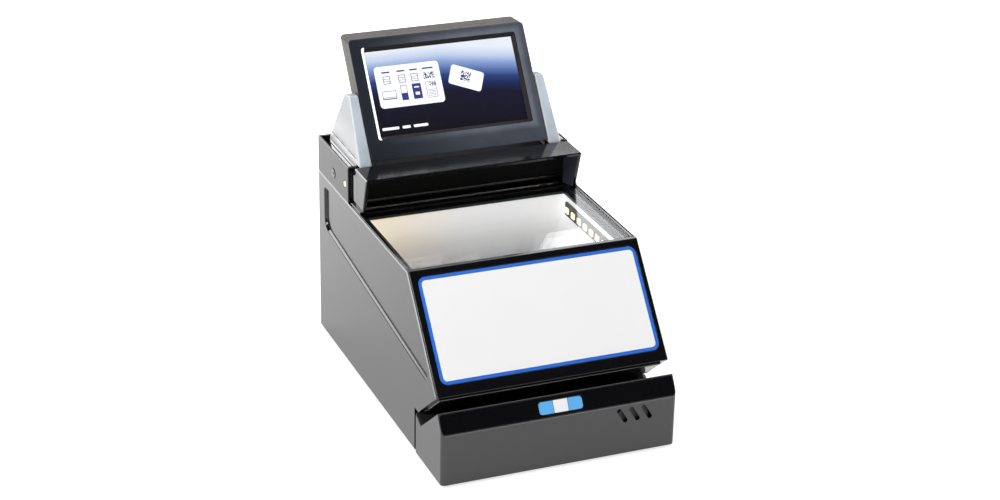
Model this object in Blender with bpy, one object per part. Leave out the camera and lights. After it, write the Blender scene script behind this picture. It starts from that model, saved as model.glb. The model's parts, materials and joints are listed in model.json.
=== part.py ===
"""A counter-top passport reader with a swipe slot and a small tilting display.

Inside the assembly's frame, X runs to the right, Y runs from the front face to the rear, and Z runs up
from the underside of the casing. The origin of the whole part is the middle of its footprint, where the
feet stand.
"""

from math import acos, atan2, cos, hypot, pi, radians, sin, sqrt, tan

import bmesh
import bpy

# General
GAP = 0.0003                      # between two pieces that touch
OVERRUN = 0.0020                  # how far a cut runs past the wall that it opens
SOFT_EDGE = 0.0005                # rounding of moulded edges
SOFT_ANGLE = 35                   # degrees; sharper bends than this are rounded and shaded as edges
CORNER_STEPS = 5                  # sides in a rounded corner
ROUND_PROFILE = 0.5               # share; a circular rounding
ROUND_SIDES = 28                  # sides of a round piece

# Casing
BODY_WIDTH = 0.1394               # over the side panels
BODY_DEPTH = 0.2152               # front face of the block to the rear edge
SEAM_HEIGHT = 0.1034              # top of the side panels, where the document lies
PANEL_WALL = 0.0030
PANEL_EDGE = 0.0009               # thin edge left beside the document frame and the front bezel
SLOPE_FOOT_DEPTH = 0.0115         # lower end of the front slope
SLOPE_FOOT_HEIGHT = 0.0481
SLOPE_TOP_DEPTH = 0.0580          # upper end of the front slope
BLOCK_JOINT_DEPTH = 0.0410        # where the front block ends and the side panels begin
SLOT_REAR_HEIGHT = 0.0248         # height of the swipe slot's floor there

# Recessed field on each side panel
FIELD_DEPTH = 0.0015
FIELD_DRAFT = 0.0010              # slope of its walls, from the top of the recess to its floor
FIELD_TOP_DROP = 0.0060           # below the panel's top edge
FIELD_REAR_INSET = 0.0110
FIELD_REAR_SPAN = 0.0266          # its height at the rear, down to where its long lower edge starts
FIELD_FRONT_UP = 0.00305          # front end of that edge, above the foot of the front slope
FIELD_FRONT_INSET = 0.0048        # from the front slope
FIELD_REAR_CORNER = 0.0080
FIELD_CORNER = 0.0030

# Front block
BLOCK_PROUD = 0.0006              # past the side panels, on each side
BLOCK_FACE_HEIGHT = 0.0305
BLOCK_WALL = 0.0022
BLOCK_CORNER = 0.0026             # rounding of its two upright front corners
RIDGE_DEPTH = 0.0068
RIDGE_HEIGHT = 0.0415
SLOT_FLOOR_DEPTH = 0.0330         # lowest line of the swipe slot
SLOT_FLOOR_HEIGHT = 0.0208
SLOT_LINER = 0.0010               # raised part of the slot's floor
SLOT_LINER_INSET = 0.0052         # at each end of the slot

# Black inlay on the block's sloping top, and the status light in it
INLAY_THICKNESS = 0.0012
INLAY_MARGIN = 0.0013
INLAY_TOP_MARGIN = 0.0006         # thinner rim along the ridge
INLAY_CORNER = 0.0024
LIGHT_WIDTH = 0.0258
LIGHT_HEIGHT = 0.0070
LIGHT_OFFSET = 0.0007             # its middle, right of the middle of the block
LIGHT_UP = 0.0010                 # above the inlay's lower edge
LIGHT_PORT_MARGIN = 0.0012        # ledge that it rests on
BOARD_THICKNESS = 0.0016          # every circuit board
STATUS_BOARD_LENGTH = 0.0320
STATUS_BOARD_HEIGHT = 0.0066

# Speaker and its three slanting slits
SLIT_COUNT = 3
SLIT_WIDTH = 0.0027
SLIT_LENGTH = 0.0102
SLIT_PITCH = 0.0075
SLIT_LEAN = 32.0                  # degrees from upright
SLIT_FROM_SIDE = 0.0259           # middle of the slits, from the block's right side
SLIT_DROP = 0.0063                # middle of the slits, below the face's top edge
SPEAKER_RADIUS = 0.0095
SPEAKER_DEPTH = 0.0052
SPEAKER_MAGNET_RADIUS = 0.0060
SPEAKER_MAGNET_DEPTH = 0.0026

# Front slope
BEZEL_THICKNESS = 0.0032
BEZEL_TOP_LAND = 0.0028           # level strip at its top, in front of the glass
SHEET_SIDE_MARGIN = 0.0030        # bezel left showing beside the coloured surround
SHEET_OFFSET = 0.0009             # its middle, right of the middle of the bezel
SHEET_FOOT_MARGIN = 0.0067
SHEET_TOP_MARGIN = 0.0042
SHEET_CORNER = 0.0042
SURROUND_WIDTH = 0.0016
SHEET_THICKNESS = 0.0014

# Wall and reading head of the swipe slot
SLOT_STEP = 0.0012                # the wall stands this far into the slot
SLOT_WALL_BACK = 0.0024           # its thickness behind the line of the panels
SLOT_WALL_FOOT = 0.0006           # its clearance over the slot's floor
SWIPE_WINDOW_WIDTH = 0.0300
SWIPE_WINDOW_HEIGHT = 0.0200
SWIPE_WINDOW_UP = 0.0045          # above the foot of the slot's wall
SWIPE_WINDOW_THICKNESS = 0.0015
SWIPE_HEAD_MARGIN = 0.0030
SWIPE_HEAD_DEPTH = 0.0110
SWIPE_HEAD_TAPER = 0.0030

# Document glass and its frame
GLASS_THICKNESS = 0.0018
GASKET_THICKNESS = 0.0005
FRAME_RIM = 0.0020                # rim beside the glass
FRAME_LEDGE = 0.0024              # ledge under the glass
FRAME_FLOOR = 0.0018              # thickness under the ledge
GLASS_PAST_STOP = 0.0020          # how far the glass runs on behind the document stop

# Hood over the rear of the glass
HOOD_INSET = 0.0024               # from the outer side of the side panels
HOOD_RISE = 0.0245                # its top, above the seam
HOOD_LENGTH = 0.0193              # along its top, to the neck
HOOD_BACK_SLANT = 0.0075          # how far the foot of its front lies behind the top
HOOD_FLARE = 0.0030               # widening of the mouth on each side
HOOD_THROAT_INSET = 0.0050        # inner side wall, from the hood's outer side
HOOD_STOP_THICKNESS = 0.0036
HOOD_LIP_RISE = 0.0050            # gap under the stop, above the glass
HOOD_TOP_WALL = 0.0020
HOOD_LIP_PROUD = 0.0008           # bead along the foot of the stop
HOOD_LIP_HEIGHT = 0.0014
HOOD_OVERHANG = 0.0016            # its top, past the neck's front
HOOD_FOOT_RISE = 0.0016           # its side flanges, above the seam
HOOD_FOOT_PROUD = 0.0011          # flanges, past the hood's sides
HOOD_FOOT_WIDTH = 0.0024
NECK_LENGTH = 0.0068              # recess between the hood and the rear cover
NECK_INSET = 0.0052               # from the outer side of the side panels
NECK_DROP = 0.0044                # its top, below the rear cover's

# Rear cover
REAR_COVER_DEPTH = 0.0569
REAR_COVER_RISE = 0.0229
REAR_WALL = 0.0025
DECK_DROP = 0.0040                # recessed top, below the rim
DECK_THICKNESS = 0.0022
REAR_PANEL_THICKNESS = 0.0020
REAR_PANEL_INSET = 0.0020         # its face, in front of the rear edges

# Button and indicator on the left of the rear cover
BUTTON_RADIUS = 0.0028
BUTTON_PLAY = 0.0003
BUTTON_PROUD = 0.0006             # over the cover's face
BUTTON_TRAVEL = 0.0008
BUTTON_FLANGE_RADIUS = 0.0040
BUTTON_FLANGE_THICKNESS = 0.0010
BUTTON_DISH_RADIUS = 0.0018
BUTTON_DISH_DEPTH = 0.0005
BUTTON_BEHIND = 0.0212            # its middle, behind the indicator's
BUTTON_UP = 0.0096                # above the seam
SWITCH_SIZE = 0.0062
SWITCH_HEIGHT = 0.0016
INDICATOR_RADIUS = 0.0019
INDICATOR_PROUD = 0.0002
INDICATOR_BEHIND = 0.0057         # its middle, behind the rear cover's front
INDICATOR_UP = 0.0110
SIDE_BOARD_HEIGHT = 0.0120
SIDE_BOARD_END = 0.0045           # past the button
SIDE_BOARD_UP = 0.0042            # above the seam
SIDE_POST_RADIUS = 0.0017
SIDE_POST_PLAY = 0.0008           # beside the indicator and the button's flange

# Translucent cheeks that carry the display
CHEEK_THICKNESS = 0.0080          # at its front
CHEEK_REAR_THICKNESS = 0.0030     # at its rear foot
CHEEK_FLANGE_WIDTH = 0.0030       # ledge outside each cheek's front
CHEEK_FLANGE_HEIGHT = 0.0030
CHEEK_FLANGE_GROOVE = 0.0010
CHEEK_GROOVE_DEPTH = 0.0014
CHEEK_GROOVE_GAP = 0.0008         # between the cheek's face and the slanting groove
CHEEK_RISE = 0.0344               # apex, above the hood
CHEEK_APEX_LENGTH = 0.0098
CHEEK_APEX_CORNER = 0.0026
CHEEK_EDGE = 0.0010
SIDE_PLAY = 0.0004                # between the display and a cheek

# Display
DISPLAY_LEAN = 35.2               # degrees back from upright
DISPLAY_HEIGHT = 0.0745           # along its face
DISPLAY_THICKNESS = 0.0137
DISPLAY_SKEW = 0.0083             # how far its rear edges lie above its front ones, along the face
DISPLAY_CORNER = 0.0026           # of its outline
DISPLAY_EDGE = 0.0008             # rounding along its edges
DISPLAY_OVER_HOOD = 0.0008        # lower front edge, above the hood
DISPLAY_AHEAD = 0.0022            # and in front of the rear cover
DISPLAY_WALL = 0.0018
FRAME_DEPTH = 0.0055              # depth of the display's front frame
WINDOW_SIDE = 0.0070              # from the display's sides to the window
WINDOW_TOP = 0.0058
WINDOW_FOOT = 0.0129
WINDOW_FLARE = 0.0021             # widening of the window towards the front
WINDOW_DEPTH = 0.0022             # from the face to the display's cover glass
COVER_GLASS_THICKNESS = 0.0008
COVER_GLASS_LAP = 0.0015          # past the window's edge
LCD_THICKNESS = 0.0026
HINGE_UP = 0.0210                 # axis, above the display's lower front edge, along the face
HINGE_IN = 0.0092                 # axis, behind the face
PIN_RADIUS = 0.0022
PIN_PLAY = 0.0003
PIN_LENGTH_IN_CHEEK = 0.0045
PIN_LENGTH_IN_DISPLAY = 0.0042
PIN_BOSS_RADIUS = 0.0046
WASHER_RADIUS = 0.0042
WASHER_THICKNESS = 0.0010

# Imaging parts under the glass
ANTENNA_WIDTH = 0.0036
CHAMBER_WALL = 0.0016
CHAMBER_STRAIGHT = 0.0130         # upright upper part, which holds the lamps
CHAMBER_FOOT_HEIGHT = 0.0160      # its open lower end, above the underside
CHAMBER_FOOT_WIDTH = 0.0420
CHAMBER_FOOT_LENGTH = 0.0320
CHAMBER_SIDE_PLAY = 0.0010
LAMP_THICKNESS = 0.0014
LAMP_HEIGHT = 0.0080
LAMP_END = 0.0060                 # short of the chamber's ends
LAMP_CHIP_COUNT = 8
LAMP_CHIP_RISE = 0.0010
LAMP_CHIP_HEIGHT = 0.0034
LAMP_CHIP_LENGTH = 0.0040
CAMERA_BOARD_WIDTH = 0.0500
CAMERA_BOARD_LENGTH = 0.0400
BARREL_RADIUS = 0.0080
BARREL_WALL = 0.0016
BARREL_HEIGHT = 0.0120
BARREL_FLANGE_RADIUS = 0.0110
BARREL_FLANGE_HEIGHT = 0.0030
LENS_HEIGHT = 0.0036
LENS_DOME = 0.0012
LENS_DOME_SHARES = (0.35, 0.65, 0.9)  # heights in the dome where its outline has a ring

# Base, main board and sockets
BASE_THICKNESS = 0.0025
POST_RADIUS = 0.0032
POST_INSET = 0.0050               # from the corners of the board that it carries
MAIN_BOARD_ROOM = 0.0077          # between its sides and the side panels
MAIN_BOARD_LENGTH = 0.0720
MAIN_BOARD_FROM_REAR = 0.0048
MAIN_BOARD_HEIGHT = 0.0080        # above the underside
SHIELD_WIDTH = 0.0340
SHIELD_LENGTH = 0.0300
SHIELD_HEIGHT = 0.0030
SOCKET_LENGTH = 0.0165
USB_WIDTH = 0.0120
USB_HEIGHT = 0.0108
USB_OFFSET = -0.0260              # from the middle
USB_CORNER = 0.0022
USB_MOUTH_WALL = 0.0014
USB_MOUTH_DEPTH = 0.0090
USB_TONGUE_WIDTH = 0.0056
USB_TONGUE_HEIGHT = 0.0030
POWER_WIDTH = 0.0100
POWER_HEIGHT = 0.0110
POWER_OFFSET = 0.0220
POWER_BORE = 0.0032
POWER_PIN = 0.0010
LOCK_WIDTH = 0.0070
LOCK_HEIGHT = 0.0032
LOCK_FROM_SIDE = 0.0197
VENT_COUNT = 7
VENT_WIDTH = 0.0024
VENT_LENGTH = 0.0220
VENT_PITCH = 0.0075
VENT_HEIGHT = 0.0820              # middle of the vents, above the underside
FOOT_RADIUS = 0.0072
FOOT_PROUD = 0.0012
FOOT_SUNK = 0.0010
FOOT_SIDE = 0.0130                # foot's middle, from the side of the casing
FOOT_FRONT = 0.0180
FOOT_REAR = 0.0160
SCREW_RADIUS = 0.0014
SCREW_HEAD_RADIUS = 0.0027
SCREW_HEAD_HEIGHT = 0.0014
SCREW_LENGTH = 0.0085
SCREW_PLAY = 0.0003
SCREW_DRIVE_RADIUS = 0.0012
SCREW_DRIVE_DEPTH = 0.0007
BOSS_RADIUS = 0.0036
BOSS_RISE = 0.0100
BOSS_BEHIND_FOOT = 0.0300         # screws, from the feet, towards the middle of the casing
REAR_SCREW_HEIGHT = 0.0300
REAR_BOSS_LENGTH = 0.0100

# Worked out from the sizes above
HALF = BODY_WIDTH / 2
PANEL_INNER = HALF - PANEL_WALL
SEAT = PANEL_INNER - GAP
EDGE_SEAT = HALF - PANEL_EDGE - GAP
REAR_COVER_FRONT = BODY_DEPTH - REAR_COVER_DEPTH
REAR_COVER_TOP = SEAM_HEIGHT + REAR_COVER_RISE
DECK_TOP = REAR_COVER_TOP - DECK_DROP
REAR_INNER = HALF - REAR_WALL
NECK_FRONT = REAR_COVER_FRONT - NECK_LENGTH
HOOD_TOP = SEAM_HEIGHT + HOOD_RISE
HOOD_FRONT = NECK_FRONT - HOOD_LENGTH
HOOD_HALF = HALF - HOOD_INSET
HOOD_STOP = NECK_FRONT - HOOD_STOP_THICKNESS
BEZEL_REAR = SLOPE_TOP_DEPTH + BEZEL_TOP_LAND
GLASS_FRONT = BEZEL_REAR + GAP
GLASS_REAR = HOOD_STOP + GLASS_PAST_STOP
GLASS_HALF = EDGE_SEAT - FRAME_RIM - GAP
GLASS_UNDER = SEAM_HEIGHT - GLASS_THICKNESS
LEDGE_TOP = GLASS_UNDER - GASKET_THICKNESS - 2 * GAP
FRAME_UNDER = LEDGE_TOP - FRAME_FLOOR
APERTURE_HALF = GLASS_HALF - FRAME_LEDGE
APERTURE_FRONT = GLASS_FRONT + FRAME_LEDGE
APERTURE_REAR = GLASS_REAR - FRAME_LEDGE
SLOPE_ANGLE = atan2(SEAM_HEIGHT - SLOPE_FOOT_HEIGHT, SLOPE_TOP_DEPTH - SLOPE_FOOT_DEPTH)
SLOPE_LENGTH = hypot(SEAM_HEIGHT - SLOPE_FOOT_HEIGHT, SLOPE_TOP_DEPTH - SLOPE_FOOT_DEPTH)
BLOCK_HALF = HALF + BLOCK_PROUD
SLIT_MIDDLE = BLOCK_HALF - SLIT_FROM_SIDE
BLOCK_TOP_ANGLE = atan2(RIDGE_HEIGHT - BLOCK_FACE_HEIGHT, RIDGE_DEPTH)
BLOCK_TOP_LENGTH = hypot(RIDGE_HEIGHT - BLOCK_FACE_HEIGHT, RIDGE_DEPTH)
SLOT_RUN = BLOCK_JOINT_DEPTH - SLOPE_FOOT_DEPTH
SLOT_ANGLE = atan2(SLOPE_FOOT_HEIGHT - SLOT_REAR_HEIGHT, -SLOT_RUN)
SLOT_LENGTH = hypot(SLOPE_FOOT_HEIGHT - SLOT_REAR_HEIGHT, SLOT_RUN)
LEAN = radians(DISPLAY_LEAN)
DISPLAY_HALF = REAR_INNER - GAP - CHEEK_FLANGE_WIDTH - CHEEK_THICKNESS - SIDE_PLAY
DISPLAY_FOOT_DEPTH = REAR_COVER_FRONT - DISPLAY_AHEAD
DISPLAY_FOOT_HEIGHT = HOOD_TOP + DISPLAY_OVER_HOOD
HINGE_DEPTH = DISPLAY_FOOT_DEPTH + HINGE_UP * sin(LEAN) + HINGE_IN * cos(LEAN)
HINGE_HEIGHT = DISPLAY_FOOT_HEIGHT + HINGE_UP * cos(LEAN) - HINGE_IN * sin(LEAN)
INDICATOR_DEPTH = REAR_COVER_FRONT + INDICATOR_BEHIND
INDICATOR_HEIGHT = SEAM_HEIGHT + INDICATOR_UP
BUTTON_DEPTH = INDICATOR_DEPTH + BUTTON_BEHIND
BUTTON_HEIGHT = SEAM_HEIGHT + BUTTON_UP
REAR_PANEL_REAR = BODY_DEPTH - REAR_PANEL_INSET
REAR_PANEL_FRONT = REAR_PANEL_REAR - REAR_PANEL_THICKNESS
CHAMBER_TOP = FRAME_UNDER - BOARD_THICKNESS - 2 * GAP
CHAMBER_MIDDLE = (APERTURE_FRONT + APERTURE_REAR) / 2
FOOT_X = HALF - FOOT_SIDE
MAIN_BOARD_WIDTH = 2 * (PANEL_INNER - MAIN_BOARD_ROOM)
LOCK_OFFSET = HALF - LOCK_FROM_SIDE


def clear_scene():
    """Start from an empty file."""
    for item in list(bpy.data.objects):
        bpy.data.objects.remove(item, do_unlink=True)


def finish(name, colour, roughness, metallic=0.0):
    """A plain Principled material."""
    material = bpy.data.materials.new(name)
    material.use_nodes = True
    shader = material.node_tree.nodes["Principled BSDF"]
    shader.inputs["Base Color"].default_value = (*colour, 1.0)
    shader.inputs["Roughness"].default_value = roughness
    shader.inputs["Metallic"].default_value = metallic
    material.diffuse_color = (*colour, 1.0)
    return material


def add_empty(name, parent=None, depth=0.0, height=0.0, turn=0.0):
    """An empty that carries pieces, on the middle plane, turned about X."""
    empty = bpy.data.objects.new(name, None)
    bpy.context.scene.collection.objects.link(empty)
    empty.parent = parent
    empty.location = (0.0, depth, height)
    empty.rotation_euler = (turn, 0.0, 0.0)
    return empty


def add_object(name, shape, carrier, material=None, origin=(0.0, 0.0, 0.0)):
    """Turn a bmesh into an object. Its origin is a point of its carrier's frame."""
    bmesh.ops.translate(shape, verts=shape.verts, vec=[-value for value in origin])
    bmesh.ops.recalc_face_normals(shape, faces=shape.faces)
    mesh = bpy.data.meshes.new(name)
    shape.to_mesh(mesh)
    shape.free()
    mesh.shade_smooth()
    mesh.set_sharp_from_angle(angle=radians(SOFT_ANGLE))
    item = bpy.data.objects.new(name, mesh)
    bpy.context.scene.collection.objects.link(item)
    item.parent = carrier
    item.location = origin
    if material is None:
        item.hide_render = True
        item.display_type = "WIRE"
    else:
        mesh.materials.append(material)
    return item


def point_on(axis, along, first, second):
    """A point from its place along one axis and on the other two, in X, Y, Z order."""
    if axis == "X":
        return (along, first, second)
    if axis == "Y":
        return (first, along, second)
    return (first, second, along)


def pushed_outline(outline, axis, low, high):
    """A bmesh prism: an outline pushed from low to high along an axis."""
    shape = bmesh.new()
    face = shape.faces.new([shape.verts.new(point_on(axis, low, *corner)) for corner in outline])
    grown = bmesh.ops.extrude_face_region(shape, geom=[face])
    moved = [part for part in grown["geom"] if isinstance(part, bmesh.types.BMVert)]
    bmesh.ops.translate(shape, verts=moved, vec=point_on(axis, high - low, 0.0, 0.0))
    return shape


def stacked_outlines(outlines, axis, places):
    """A bmesh solid through several outlines with as many points each."""
    shape = bmesh.new()
    rings = [[shape.verts.new(point_on(axis, place, *corner)) for corner in outline]
             for outline, place in zip(outlines, places)]
    count = len(outlines[0])
    for lower, upper in zip(rings, rings[1:]):
        for index in range(count):
            after = (index + 1) % count
            shape.faces.new([lower[index], lower[after], upper[after], upper[index]])
    shape.faces.new(rings[0])
    shape.faces.new(list(reversed(rings[-1])))
    return shape


def prism(name, outline, axis, low, high, carrier, material=None, origin=(0.0, 0.0, 0.0)):
    """A piece, or without a material a cutter, made by pushing an outline along an axis."""
    return add_object(name, pushed_outline(outline, axis, low, high), carrier, material, origin)


def rectangle(low_a, high_a, low_b, high_b):
    """The four corners of a rectangle."""
    return [(low_a, low_b), (high_a, low_b), (high_a, high_b), (low_a, high_b)]


def block(name, low, high, carrier, material=None, origin=(0.0, 0.0, 0.0)):
    """A box between two corners."""
    outline = rectangle(low[0], high[0], low[1], high[1])
    return prism(name, outline, "Z", low[2], high[2], carrier, material, origin)


def filleted(corners, radii, steps=CORNER_STEPS):
    """An outline with each corner rounded to its own radius."""
    rounded = []
    count = len(corners)
    for index, (corner, radius) in enumerate(zip(corners, radii)):
        before = corners[index - 1]
        after = corners[(index + 1) % count]
        if radius == 0:
            rounded.append(corner)
            continue
        to_before = unit(before[0] - corner[0], before[1] - corner[1])
        to_after = unit(after[0] - corner[0], after[1] - corner[1])
        half_bend = acos(to_before[0] * to_after[0] + to_before[1] * to_after[1]) / 2
        reach = radius / tan(half_bend)
        middle = unit(to_before[0] + to_after[0], to_before[1] + to_after[1])
        centre = [corner[axis] + middle[axis] * radius / sin(half_bend) for axis in (0, 1)]
        start = [corner[axis] + to_before[axis] * reach - centre[axis] for axis in (0, 1)]
        end = [corner[axis] + to_after[axis] * reach - centre[axis] for axis in (0, 1)]
        first = atan2(start[1], start[0])
        sweep = (atan2(end[1], end[0]) - first + pi) % (2 * pi) - pi
        for step in range(steps + 1):
            angle = first + sweep * step / steps
            rounded.append((centre[0] + radius * cos(angle), centre[1] + radius * sin(angle)))
    return rounded


def unit(first, second):
    """A plane direction of length one."""
    length = hypot(first, second)
    return (first / length, second / length)


def round_rectangle(low_a, high_a, low_b, high_b, radius, steps=CORNER_STEPS):
    """A rectangle with four rounded corners."""
    return filleted(rectangle(low_a, high_a, low_b, high_b), [radius] * 4, steps)


def circle(radius, centre=(0.0, 0.0), sides=ROUND_SIDES):
    """A round outline."""
    turns = [2 * pi * side / sides for side in range(sides)]
    return [(centre[0] + radius * cos(turn), centre[1] + radius * sin(turn)) for turn in turns]


def inset(corners, distances):
    """An outline, listed anticlockwise, with each side moved inwards by its own distance."""
    count = len(corners)
    lines = []
    for index, distance in enumerate(distances):
        start = corners[index]
        along = unit(corners[(index + 1) % count][0] - start[0], corners[(index + 1) % count][1] - start[1])
        lines.append(((start[0] - along[1] * distance, start[1] + along[0] * distance), along))
    moved = []
    for index in range(count):
        (point_a, along_a), (point_b, along_b) = lines[index - 1], lines[index]
        cross = along_a[0] * along_b[1] - along_a[1] * along_b[0]
        reach = ((point_b[0] - point_a[0]) * along_b[1] - (point_b[1] - point_a[1]) * along_b[0]) / cross
        moved.append((point_a[0] + along_a[0] * reach, point_a[1] + along_a[1] * reach))
    return moved


def turned(name, profile, axis, centre, carrier, material=None, origin=None, sides=ROUND_SIDES):
    """A round piece: (radius, place along the axis) pairs from one end on the axis to the other."""
    rings = [circle(radius, centre, sides) for radius, place in profile]
    shape = stacked_outlines(rings, axis, [place for radius, place in profile])
    return add_object(name, shape, carrier, material, origin or (0.0, 0.0, 0.0))


def cut(item, tool):
    """Take a cutter's shape out of a piece."""
    change = item.modifiers.new(f"cut {tool.name}", "BOOLEAN")
    change.operation = "DIFFERENCE"
    change.object = tool
    return item


def join(item, tool):
    """Make a guide's shape part of a piece."""
    change = item.modifiers.new(f"join {tool.name}", "BOOLEAN")
    change.operation = "UNION"
    change.object = tool
    return item


def soften(item, width=SOFT_EDGE, steps=2):
    """Round a piece's sharp edges, before what is cut out of it."""
    bevel = item.modifiers.new("soft edges", "BEVEL")
    bevel.width = width
    bevel.segments = steps
    bevel.limit_method = "ANGLE"
    bevel.angle_limit = radians(SOFT_ANGLE)
    return item


def round_edges(shape, edges, radius, steps):
    """Round some edges of a bmesh."""
    bmesh.ops.bevel(shape, geom=edges, offset=radius, segments=steps, affect="EDGES", profile=ROUND_PROFILE)


def panel_outline():
    """A side panel seen from the right, anticlockwise from the foot of the block's joint."""
    joint = BLOCK_JOINT_DEPTH + GAP
    return [(joint, 0.0), (BODY_DEPTH, 0.0), (BODY_DEPTH, SEAM_HEIGHT), (SLOPE_TOP_DEPTH, SEAM_HEIGHT),
            (SLOPE_FOOT_DEPTH, SLOPE_FOOT_HEIGHT), (joint, SLOT_REAR_HEIGHT)]


def field_corners():
    """The recessed field on a side panel: its corners, anticlockwise from its front foot."""
    top = SEAM_HEIGHT - FIELD_TOP_DROP
    rear = BODY_DEPTH - FIELD_REAR_INSET
    steep = tan(SLOPE_ANGLE)
    shift = SLOPE_FOOT_DEPTH + FIELD_FRONT_INSET / sin(SLOPE_ANGLE)
    return [(shift + FIELD_FRONT_UP / steep, SLOPE_FOOT_HEIGHT + FIELD_FRONT_UP),
            (rear, top - FIELD_REAR_SPAN), (rear, top), (shift + (top - SLOPE_FOOT_HEIGHT) / steep, top)]


def side_panel(name, side, root, material):
    """A side of the casing, with its recessed field, thin upper edges and two screw bosses."""
    shape = pushed_outline(panel_outline(), "X", side * PANEL_INNER, side * HALF)
    middle = HALF - PANEL_WALL / 2
    rim = [edge for edge in shape.edges if all(abs(vert.co.x) > middle for vert in edge.verts)]
    round_edges(shape, rim, SOFT_EDGE, 2)
    panel = add_object(name, shape, root, material)
    corners = field_corners()
    radii = [FIELD_CORNER, FIELD_REAR_CORNER, FIELD_CORNER, FIELD_CORNER]
    floor = filleted(inset(corners, [FIELD_DRAFT] * 4), radii)
    steep = FIELD_DRAFT / FIELD_DEPTH
    mouth = filleted(inset(corners, [-OVERRUN * steep] * 4), radii)
    field = stacked_outlines([floor, mouth], "X", [side * (HALF - FIELD_DEPTH), side * (HALF + OVERRUN)])
    cut(panel, add_object(f"{name}_field", field, root))
    across = sorted((side * (HALF - PANEL_EDGE), side * (PANEL_INNER - OVERRUN)))
    drop = SEAM_HEIGHT - FRAME_UNDER + GAP
    outer = inset(panel_outline(), [0, 0, -OVERRUN, -OVERRUN, -OVERRUN, 0])
    inner = inset(panel_outline(), [0, 0, drop, BEZEL_THICKNESS + GAP, -OVERRUN, 0])
    rebate = [(REAR_COVER_FRONT, inner[3][1]), (REAR_COVER_FRONT, outer[3][1]), *outer[3:5], inner[4],
              inner[3]]
    cut(panel, prism(f"{name}_rebate", rebate, "X", *across, root))
    for place, depth in screw_places():
        if place * side > 0:
            inner, outer = place - side * BOSS_RADIUS, side * (PANEL_INNER + PANEL_WALL / 2)
            boss = rectangle(*sorted((inner, outer)), depth - BOSS_RADIUS, depth + BOSS_RADIUS)
            number = round(depth / GAP)
            foot = BASE_THICKNESS + GAP
            boss = prism(f"{name}_boss_{number}", boss, "Z", foot, foot + BOSS_RISE, root)
            hole = circle(SCREW_RADIUS + SCREW_PLAY, (place, depth), ROUND_SIDES // 2)
            hole = prism(f"{name}_hole_{number}", hole, "Z", foot - OVERRUN, SCREW_LENGTH + OVERRUN, root)
            join(panel, cut(boss, hole))
    place = side * rear_screw_places()[1][0]
    rear = REAR_PANEL_FRONT - GAP
    inner, outer = place - side * BOSS_RADIUS, side * (PANEL_INNER + PANEL_WALL / 2)
    low, high = REAR_SCREW_HEIGHT - BOSS_RADIUS, REAR_SCREW_HEIGHT + BOSS_RADIUS
    boss = rectangle(*sorted((inner, outer)), low, high)
    boss = prism(f"{name}_rear_boss", boss, "Y", rear - REAR_BOSS_LENGTH, rear, root)
    hole = circle(SCREW_RADIUS + SCREW_PLAY, (place, REAR_SCREW_HEIGHT), ROUND_SIDES // 2)
    hole = prism(f"{name}_rear_hole", hole, "Y", rear - SCREW_LENGTH, rear + OVERRUN, root)
    join(panel, cut(boss, hole))
    return panel


def screw_places():
    """The base screws: X and Y of each."""
    place = PANEL_INNER - BOSS_RADIUS
    depths = (FOOT_FRONT + BOSS_BEHIND_FOOT, BODY_DEPTH - FOOT_REAR - BOSS_BEHIND_FOOT)
    return [(side * place, depth) for depth in depths for side in (-1, 1)]


def foot_places():
    """The feet: X and Y of each."""
    return [(side * FOOT_X, depth) for depth in (FOOT_FRONT, BODY_DEPTH - FOOT_REAR) for side in (-1, 1)]


def board_posts(half_width, front, rear):
    """The four posts under a board."""
    across = half_width - POST_INSET
    return [(side * across, depth) for depth in (front + POST_INSET, rear - POST_INSET) for side in (-1, 1)]


def base_plate(root, material):
    """The bottom plate, with posts for the boards and pockets for feet and screw heads."""
    low = (-SEAT, BLOCK_WALL + GAP, 0.0)
    high = (SEAT, REAR_PANEL_FRONT - GAP, BASE_THICKNESS)
    plate = soften(block("base_plate", low, high, root, material))
    camera_front = CHAMBER_MIDDLE - CAMERA_BOARD_LENGTH / 2
    camera_top = CHAMBER_FOOT_HEIGHT - BOARD_THICKNESS - 2 * GAP
    posts = [(place, camera_top) for place in
             board_posts(CAMERA_BOARD_WIDTH / 2, camera_front, camera_front + CAMERA_BOARD_LENGTH)]
    main_rear = BODY_DEPTH - MAIN_BOARD_FROM_REAR
    posts += [(place, MAIN_BOARD_HEIGHT - GAP) for place in
              board_posts(MAIN_BOARD_WIDTH / 2, main_rear - MAIN_BOARD_LENGTH, main_rear)]
    for number, (place, top) in enumerate(posts):
        outline = circle(POST_RADIUS, place, ROUND_SIDES // 2)
        join(plate, prism(f"post_{number}", outline, "Z", BASE_THICKNESS / 2, top, root))
    for number, place in enumerate(foot_places()):
        outline = circle(FOOT_RADIUS + GAP, place)
        cut(plate, prism(f"foot_pocket_{number}", outline, "Z", -OVERRUN, FOOT_SUNK + GAP, root))
    for number, place in enumerate(screw_places()):
        hole = circle(SCREW_RADIUS + SCREW_PLAY, place, ROUND_SIDES // 2)
        cut(plate, prism(f"screw_hole_{number}", hole, "Z", -OVERRUN, BASE_THICKNESS + OVERRUN, root))
        pocket = circle(SCREW_HEAD_RADIUS + SCREW_PLAY, place, ROUND_SIDES // 2)
        cut(plate, prism(f"head_pocket_{number}", pocket, "Z", -OVERRUN, SCREW_HEAD_HEIGHT + GAP, root))
    return plate


def feet(root, material):
    """Four rubber feet in their pockets."""
    for name, place in zip(("foot_front_left", "foot_front_right", "foot_rear_left", "foot_rear_right"),
                           foot_places()):
        profile = [(FOOT_RADIUS - SOFT_EDGE, -FOOT_PROUD), (FOOT_RADIUS, SOFT_EDGE - FOOT_PROUD),
                   (FOOT_RADIUS, FOOT_SUNK)]
        turned(name, profile, "Z", place, root, material)


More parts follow.
